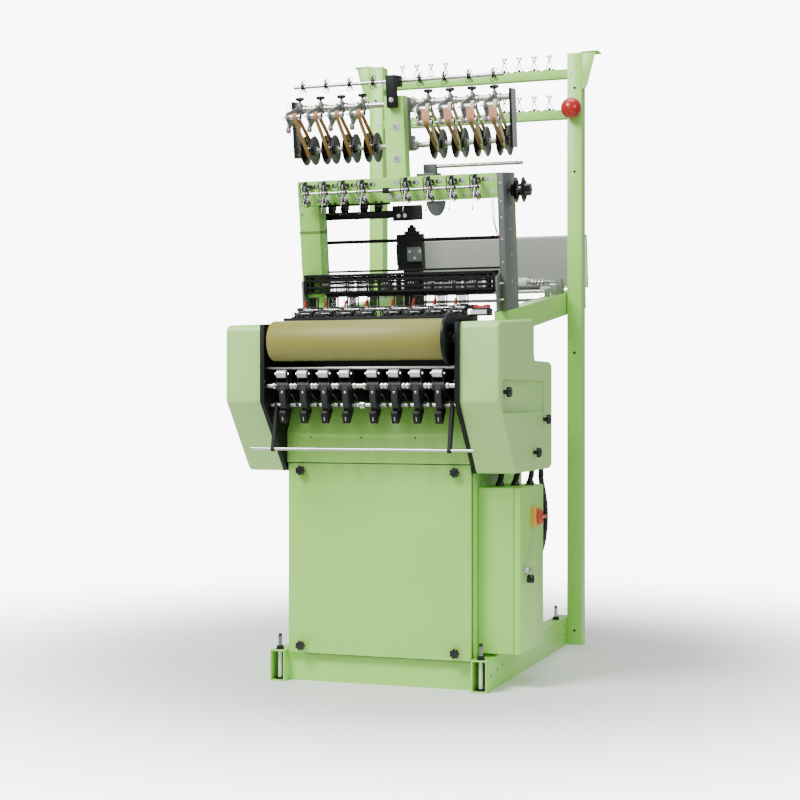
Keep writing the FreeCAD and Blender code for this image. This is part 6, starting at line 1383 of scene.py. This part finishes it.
def build_electric():
    """The electric box, its door and lock, and the cables."""
    dressed("electric_box", "green", 0.0015)
    dressed("box_door", "green", 0.0015)
    dressed("cables", "rubber", 0.0)
    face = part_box("isolator_handle")[0][0] - 0.0003 - 0.016
    centre = middle("isolator_handle")
    y, z = (centre[1], centre[2])
    corner = [(y + a * 0.0316, z + b * 0.0316) for a, b in ((-1, -1), (1, -1), (1, 1), (-1, 1))]
    piece("isolator_base", "box_door", "yellow",
          (prism, corner, "x", face - 0.0002, face + 0.01625), edge=0.0006, smooth=40)
    screws = bmesh.new()
    for a in (-1, 1):
        for b in (-1, 1):
            turned(screws, "x", (face + 0.0158, y + a * 0.024, z + b * 0.024), ((0, 0.0034),
                    (0.0008, 0.0034), (0.0009, 0.0018)), 14)
    settle("isolator_screws", screws, "box_door", "black")
    low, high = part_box("isolator_handle")
    piece("isolator_grip", "isolator_handle", "handle",
          (turned, "x", (low[0], y, z), ((0, 0.0215), (0, 0.0252), (0.0016, 0.0259), (0.0085, 0.0259),
              (0.0108, 0.0245), (0.012, 0.0215), (0.01, 0.02), (0.0095, 0.006)), 40),
          (block, (low[0] + 0.008, y - 0.0248, z - 0.0048), (high[0] - 0.0002, y + 0.0248, z + 0.0048)),
          edge=0.0008, smooth=40, replaces=("isolator_handle",))
    piece("isolator_pointer", "isolator_handle", "white",
          (block, (high[0] - 0.001, y - 0.0225, z - 0.0012), (high[0] - 0.0001, y - 0.01, z + 0.0012)))

    low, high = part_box("padlock")
    mid = middle("padlock")
    top = low[2] + 0.0262
    outline = [(low[0] + 0.0003, low[2] + 0.002), (low[0] + 0.002, low[2] + 0.0002),
            (high[0] - 0.002, low[2] + 0.0002), (high[0] - 0.0003, low[2] + 0.002),
            (high[0] - 0.0003, top - 0.005), (high[0] - 0.004, top), (low[0] + 0.004, top),
            (low[0] + 0.0003, top - 0.005)]
    piece("padlock_case", "padlock", "gloss",
          (prism, outline, "y", low[1] + 0.0002, high[1] - 0.0002),
          edge=0.0008, smooth=40, replaces=("padlock",))
    rings = bmesh.new()
    for step in (0.0055, 0.0105, 0.0155):
        block(rings, (low[0] + 0.0001, low[1] + 0.0006, low[2] + step),
                (high[0] - 0.0001, high[1] - 0.0006, low[2] + step + 0.0018))
    settle("padlock_layers", rings, "padlock", "steel", edge=0.0002, smooth=40)
    crown = high[2] - 0.0024
    piece("padlock_shackle", "padlock", "steel",
          (wire_along, [(mid[0] - 0.008, mid[1], top - 0.002), (mid[0] - 0.008, mid[1],
              crown - 0.006)] + arc_points((mid[0], mid[1], crown - 0.008), 0.008, 172, 8, 11,
              "xz") + [(mid[0] + 0.008, mid[1], crown - 0.006), (mid[0] + 0.008, mid[1], top - 0.002)],
              0.0022, 10), smooth=40)

    door_low, door_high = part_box("box_door")
    skin = face
    piece("lock_barrel", "box_door", "turned",
          (turned, "x", (skin, -0.48, 0.373), ((0, 0.014), (0.002, 0.014), (0.003, 0.0118),
              (0.0172, 0.0116), (0.0186, 0.01)), 28),
          (turned, "y", (skin + 0.016, -0.479, 0.373), ((0, 0.00275), (0.0338, 0.00275), (0.0344, 0.002)),
              14), smooth=40)
    glands = bmesh.new()
    low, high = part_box("cables")
    for x, y in ((0.35, -0.4), (0.386, -0.345), (0.418, -0.28)):
        turned(glands, "z", (x, y, 0.63), ((0, 0.015), (0.005, 0.015), (0.0052, 0.0128), (0.012, 0.0128),
                (0.0134, 0.0112), (0.0134, 0.0092)), 12)
    turned(glands, "y", (0.418, -0.23, 0.372), ((0, 0.015), (0.004, 0.015), (0.0042, 0.0128),
            (0.011, 0.0128), (0.012, 0.0112), (0.012, 0.0092)), 12)
    settle("cable_glands", glands, "frame", "knob", edge=0.0004, smooth=40)
    seam = bmesh.new()
    box_low, box_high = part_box("electric_box")
    inner, outer = (door_low[0] + 0.0002, door_low[0] + 0.0012)
    left, right, foot, head = (door_low[1] + 0.003, door_high[1] - 0.003, door_low[2]
            + 0.003, door_high[2] - 0.003)
    for y0, y1, z0, z1 in ((left, right, foot, foot + 0.009), (left, right, head - 0.009, head),
            (left, left + 0.009, foot, head), (right - 0.009, right, foot, head)):
        block(seam, (inner - 0.0006, y0, z0), (outer, y1, z1))
    settle("door_gasket", seam, "box_door", "rubber")
    piece("box_shadow_gaps", "frame", "painted_shade",
          (block, (box_high[0] - 0.015, box_low[1] - 0.0002, box_low[2] + 0.001),
              (box_high[0] - 0.0136, box_low[1] + 0.001, box_high[2] - 0.001),
              (box_low[0] + 0.001, box_low[1] - 0.0002, box_low[2] + 0.001),
              (box_low[0] + 0.0022, box_low[1] + 0.001, box_high[2] - 0.001)))


def build_rear():
    """The rollers and the plate behind the loom."""
    dressed("roller_blocks", "cast", 0.001)
    lean = (LEANING,)
    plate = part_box("rear_plate")
    dressed("rear_plate", "sheet", 0.0008)
    trim = bmesh.new()
    edge = plate[1][0] - 0.0004
    back = 1.118
    for low, high in (((-edge, back - 0.0007, 0.196), (edge, back + 0.0004, 0.205)),
            ((-edge, back - 0.0007, 0.0006), (edge, back + 0.0004, 0.008)),
            ((edge - 0.01, back - 0.0007, 0.0006), (edge, back + 0.0004, 0.205)),
            ((-edge, back - 0.0007, 0.0006), (-edge + 0.01, back + 0.0004, 0.205))):
        block(trim, low, high)
    settle("rear_plate_trim", trim, "frame", "pale", edge=0.0003, places=lean)
    pads = bmesh.new()
    for side in (-1, 1):
        block(pads, (side * 0.356 - 0.009, back - 0.003, 0.018), (side * 0.356 + 0.009, back + 0.0, 0.036))
    settle("rear_plate_pads", pads, "frame", "white", edge=0.001, places=lean)

    y, z = (0.8, 0.042)
    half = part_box("warp_roller")[1][0]
    length = 0.248
    piece("warp_roller_sleeve", "warp_roller", "roller",
          (turned, "x", (-length - 0.03, y, z), ((0, 0.013), (0.002, 0.019), (0.004, 0.0198),
              (2 * length - 0.004, 0.0198), (2 * length - 0.002, 0.019), (2 * length, 0.013)), 40),
          smooth=40, replaces=("warp_roller",), places=lean)
    chuck = bmesh.new()
    for start, sign in ((length - 0.03, 1), (-length - 0.03, -1)):
        turned(chuck, "x", (start, y, z), ((0, 0.019), (sign * 0.006, 0.017), (sign * 0.018, 0.012),
                (sign * 0.02, 0.0185), (sign * 0.024, 0.0185), (sign * 0.025, 0.008)), 28)
    for step in (0.029, 0.042, 0.055):
        turned(chuck, "x", (length - 0.03 + step, y, z), ((0, 0.01), (0.001, 0.015), (0.005, 0.015),
                (0.006, 0.01)), 24)
    turned(chuck, "x", (-half + 0.0004, y, z), ((0, 0.005), (0.001, 0.0058), (2 * half - 0.0018, 0.0058),
            (2 * half - 0.0008, 0.005)), 18)
    wire_along(chuck, coil_points((length + 0.034, y, z), (length + 0.052, y, z), 0.009, 5, 10), 0.0014, 6)
    settle("warp_roller_chuck", chuck, "warp_roller", "turned", smooth=40, places=lean)

    y, z = (0.73, 0.022)
    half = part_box("low_roller")[1][0]
    low_roller = bmesh.new()
    turned(low_roller, "x", (-0.2815, y, z), ((0, 0.009), (0.001, 0.0134), (0.003, 0.0139), (0.56, 0.0139),
            (0.562, 0.0134), (0.563, 0.009)), 32)
    for step in range(-5, 6):
        turned(low_roller, "x", (step * 0.05 - 0.002, y, z), ((0, 0.0137), (0.001, 0.01398),
                (0.003, 0.01398), (0.004, 0.0137)), 32)
    settle("low_roller_sleeve", low_roller, "low_roller", "knob", smooth=40, replaces=("low_roller",),
            places=lean)
    piece("low_roller_journals", "low_roller", "turned",
          (turned, "x", (-half + 0.0004, y, z), ((0, 0.005), (0.001, 0.0058), (2 * half - 0.0018, 0.0058),
              (2 * half - 0.0008, 0.005)), 18), smooth=40, places=lean)
    rods = bmesh.new()
    for back, up, wide in ((0.64, 0.02, 0.006), (0.76, 0.01, 0.005), (0.86, 0.03, 0.006)):
        turned(rods, "x", (-0.34, back, up), ((0, wide * 0.8), (0.001, wide), (0.679, wide),
                (0.68, wide * 0.8)), 20)
    settle("warp_rods", rods, "frame", "turned", smooth=40, places=lean)
    feet = bmesh.new()
    for side in (-1, 1):
        for back, up in ((0.64, 0.02), (0.86, 0.03)):
            block(feet, (side * 0.33 - 0.009, back - 0.01, -0.0006),
                    (side * 0.33 + 0.009, back + 0.01, up + 0.0085))
    settle("warp_rod_blocks", feet, "frame", "cast", edge=0.001, places=lean)
    cap = bmesh.new()
    for side in (-1, 1):
        for back in (0.64, 0.73, 0.8, 0.86):
            hex_head(cap, "z", (side * 0.336, back + 0.006, 0.03 if back < 0.7 else 0.0335), 0.01, 0.005)
    settle("rear_block_screws", cap, "frame", "steel", places=lean)


# ---------------------------------------------------------------- stage
def build_stage():
    """The floor, the lights and the camera."""
    stage = bpy.context.scene.loom_stage
    floor_finish = Finish("studio_floor", Specular_IOR_Level=0.2)
    drift = floor_finish.noise(0.6, 2.0)
    floor_finish.feed("Base Color", floor_finish.shades(drift, tint(stage.floor, 0.985), stage.floor))
    floor_finish.feed("Roughness", floor_finish.between(drift, 0.75, 0.85))
    reach = floor_finish.add("ShaderNodeVectorMath", {"operation": "LENGTH"}, {0: floor_finish.place()},
            "Value")
    floor_finish.feed("Alpha", floor_finish.add("ShaderNodeMapRange", {"interpolation_type": "SMOOTHSTEP"},
            {"Value": reach, "From Min": 0.8, "From Max": 3.2, "To Min": 1.0, "To Max": 0.0}, "Result"))
    sweep = bmesh.new()
    bmesh.ops.create_grid(sweep, x_segments=1, y_segments=1, size=14.0)
    data = bpy.data.meshes.new("floor")
    sweep.to_mesh(data)
    sweep.free()
    data.materials.append(floor_finish.material)
    floor = bpy.data.objects.new("floor", data)
    bpy.context.collection.objects.link(floor)

    world = bpy.data.worlds.new("studio")
    world.use_nodes = True
    sky = world.node_tree
    backdrop = sky.nodes["Background"]
    backdrop.inputs["Color"].default_value = (1.0, 1.0, 1.0, 1.0)
    rays = sky.nodes.new("ShaderNodeLightPath")
    level = sky.nodes.new("ShaderNodeMapRange")
    level.inputs["To Min"].default_value = stage.fill
    level.inputs["To Max"].default_value = stage.backdrop
    sky.links.new(rays.outputs["Is Camera Ray"], level.inputs["Value"])
    sky.links.new(level.outputs["Result"], backdrop.inputs["Strength"])
    bpy.context.scene.world = world

    for name, place, aim, width, power in (("key", (-1.6, -3.4, 4.4), (0.0, -0.3, 1.1), 1.8, 340.0),
            ("front", (-0.6, -5.2, 1.9), (0.0, -0.3, 1.0), 2.2, 35.0), ("side", (4.2, -2.2, 2.6),
            (0.1, -0.2, 1.0), 2.0, 76.0), ("top", (0.2, 0.3, 4.6), (0.0, 0.0, 1.0), 2.6, 90.0), ("back",
            (-1.5, 4.0, 3.2), (0.0, 0.3, 1.2), 2.4, 60.0)):
        lamp = bpy.data.lights.new(name, "AREA")
        lamp.size = width
        lamp.energy = power
        light = bpy.data.objects.new(name, lamp)
        light.location = place
        light.rotation_euler = (Vector(aim) - Vector(place)).to_track_quat("-Z", "Y").to_euler()
        bpy.context.collection.objects.link(light)

    lens = bpy.data.cameras.new("front")
    lens.lens = stage.lens
    lens.clip_end = 60.0
    camera = bpy.data.objects.new("front", lens)
    camera.location = (1.7527, -5.4, stage.height)
    camera.rotation_euler = (math.radians(90), 0, stage.yaw)
    bpy.context.collection.objects.link(camera)
    bpy.context.scene.camera = camera


# ---------------------------------------------------------------- the add-on
class LOOM_OT_materials(bpy.types.Operator):
    """Makes the finishes of the whole machine"""

    bl_idname = "loom.materials"
    bl_label = "Finishes"

    def execute(self, context):
        make_materials(context.scene.loom_paint)
        return {"FINISHED"}


class LOOM_OT_base(bpy.types.Operator):
    """Builds the base frame, feet, posts and rack beams"""

    bl_idname = "loom.base"
    bl_label = "Base and posts"

    def execute(self, context):
        build_base()
        return {"FINISHED"}


class LOOM_OT_cabinet(bpy.types.Operator):
    """Builds the cabinet, its panel, knobs and apron"""

    bl_idname = "loom.cabinet"
    bl_label = "Cabinet"

    def execute(self, context):
        build_cabinet()
        return {"FINISHED"}


class LOOM_OT_covers(bpy.types.Operator):
    """Builds the side covers and side frames"""

    bl_idname = "loom.covers"
    bl_label = "Side covers"

    def execute(self, context):
        build_covers()
        return {"FINISHED"}


class LOOM_OT_take_up(bpy.types.Operator):
    """Builds the take-up drum, press rollers and breast shafts"""

    bl_idname = "loom.take_up"
    bl_label = "Take-up"

    def execute(self, context):
        build_take_up()
        return {"FINISHED"}


class LOOM_OT_heads(bpy.types.Operator):
    """Builds the weaving heads and the switch"""

    bl_idname = "loom.heads"
    bl_label = "Weaving heads"

    def execute(self, context):
        build_heads()
        return {"FINISHED"}


class LOOM_OT_upper(bpy.types.Operator):
    """Builds the leaning frame and the heald frames"""

    bl_idname = "loom.upper"
    bl_label = "Leaning frame"

    def execute(self, context):
        build_upper()
        return {"FINISHED"}


class LOOM_OT_tension(bpy.types.Operator):
    """Builds the weft tension units"""

    bl_idname = "loom.tension"
    bl_label = "Weft tension units"

    def execute(self, context):
        build_tension()
        return {"FINISHED"}


class LOOM_OT_feeder(bpy.types.Operator):
    """Builds the rubber feeder, the top rod and the spool"""

    bl_idname = "loom.feeder"
    bl_label = "Rubber feeder"

    def execute(self, context):
        build_feeder()
        return {"FINISHED"}


class LOOM_OT_rack(bpy.types.Operator):
    """Builds the yarn guides and the lamp"""

    bl_idname = "loom.rack"
    bl_label = "Yarn guides and lamp"

    def execute(self, context):
        build_rack()
        return {"FINISHED"}


class LOOM_OT_electric(bpy.types.Operator):
    """Builds the electric box, its lock and the cables"""

    bl_idname = "loom.electric"
    bl_label = "Electric box"

    def execute(self, context):
        build_electric()
        return {"FINISHED"}


class LOOM_OT_rear(bpy.types.Operator):
    """Builds the rear rollers and plate"""

    bl_idname = "loom.rear"
    bl_label = "Rear rollers"

    def execute(self, context):
        build_rear()
        return {"FINISHED"}


class LOOM_OT_stage(bpy.types.Operator):
    """Sets the floor, the lights and the camera"""

    bl_idname = "loom.stage"
    bl_label = "Stage"

    def execute(self, context):
        build_stage()
        return {"FINISHED"}


STEPS = (LOOM_OT_materials, LOOM_OT_base, LOOM_OT_cabinet, LOOM_OT_covers, LOOM_OT_take_up, LOOM_OT_heads,
         LOOM_OT_upper, LOOM_OT_tension, LOOM_OT_feeder, LOOM_OT_rack, LOOM_OT_electric, LOOM_OT_rear,
         LOOM_OT_stage)


class VIEW3D_PT_loom(bpy.types.Panel):
    """The loom's panel in the sidebar."""

    bl_label = "Loom"
    bl_space_type = "VIEW_3D"
    bl_region_type = "UI"
    bl_category = "Loom"

    def draw(self, context):
        scene = context.scene
        for settings in (scene.loom_trim, scene.loom_paint, scene.loom_stage):
            column = self.layout.column(align=True)
            for name in type(settings).__annotations__:
                column.prop(settings, name)
        column = self.layout.column(align=True)
        for step in STEPS:
            column.operator(step.bl_idname)


GROUPS = (("loom_stage", LoomStage), ("loom_paint", LoomPaint), ("loom_trim", LoomTrim))


def register():
    for kind in [group for _, group in GROUPS] + list(STEPS) + [VIEW3D_PT_loom]:
        bpy.utils.register_class(kind)
    for name, group in GROUPS:
        setattr(bpy.types.Scene, name, PointerProperty(type=group))


def unregister():
    for name, _ in GROUPS:
        delattr(bpy.types.Scene, name)
    for kind in [VIEW3D_PT_loom] + list(STEPS)[::-1] + [group for _, group in GROUPS]:
        bpy.utils.unregister_class(kind)


def main():
    """Registers the add-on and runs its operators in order."""
    register()
    for step in STEPS:
        family, name = step.bl_idname.split(".")
        getattr(getattr(bpy.ops, family), name)()


if __name__ == "__main__":
    main()
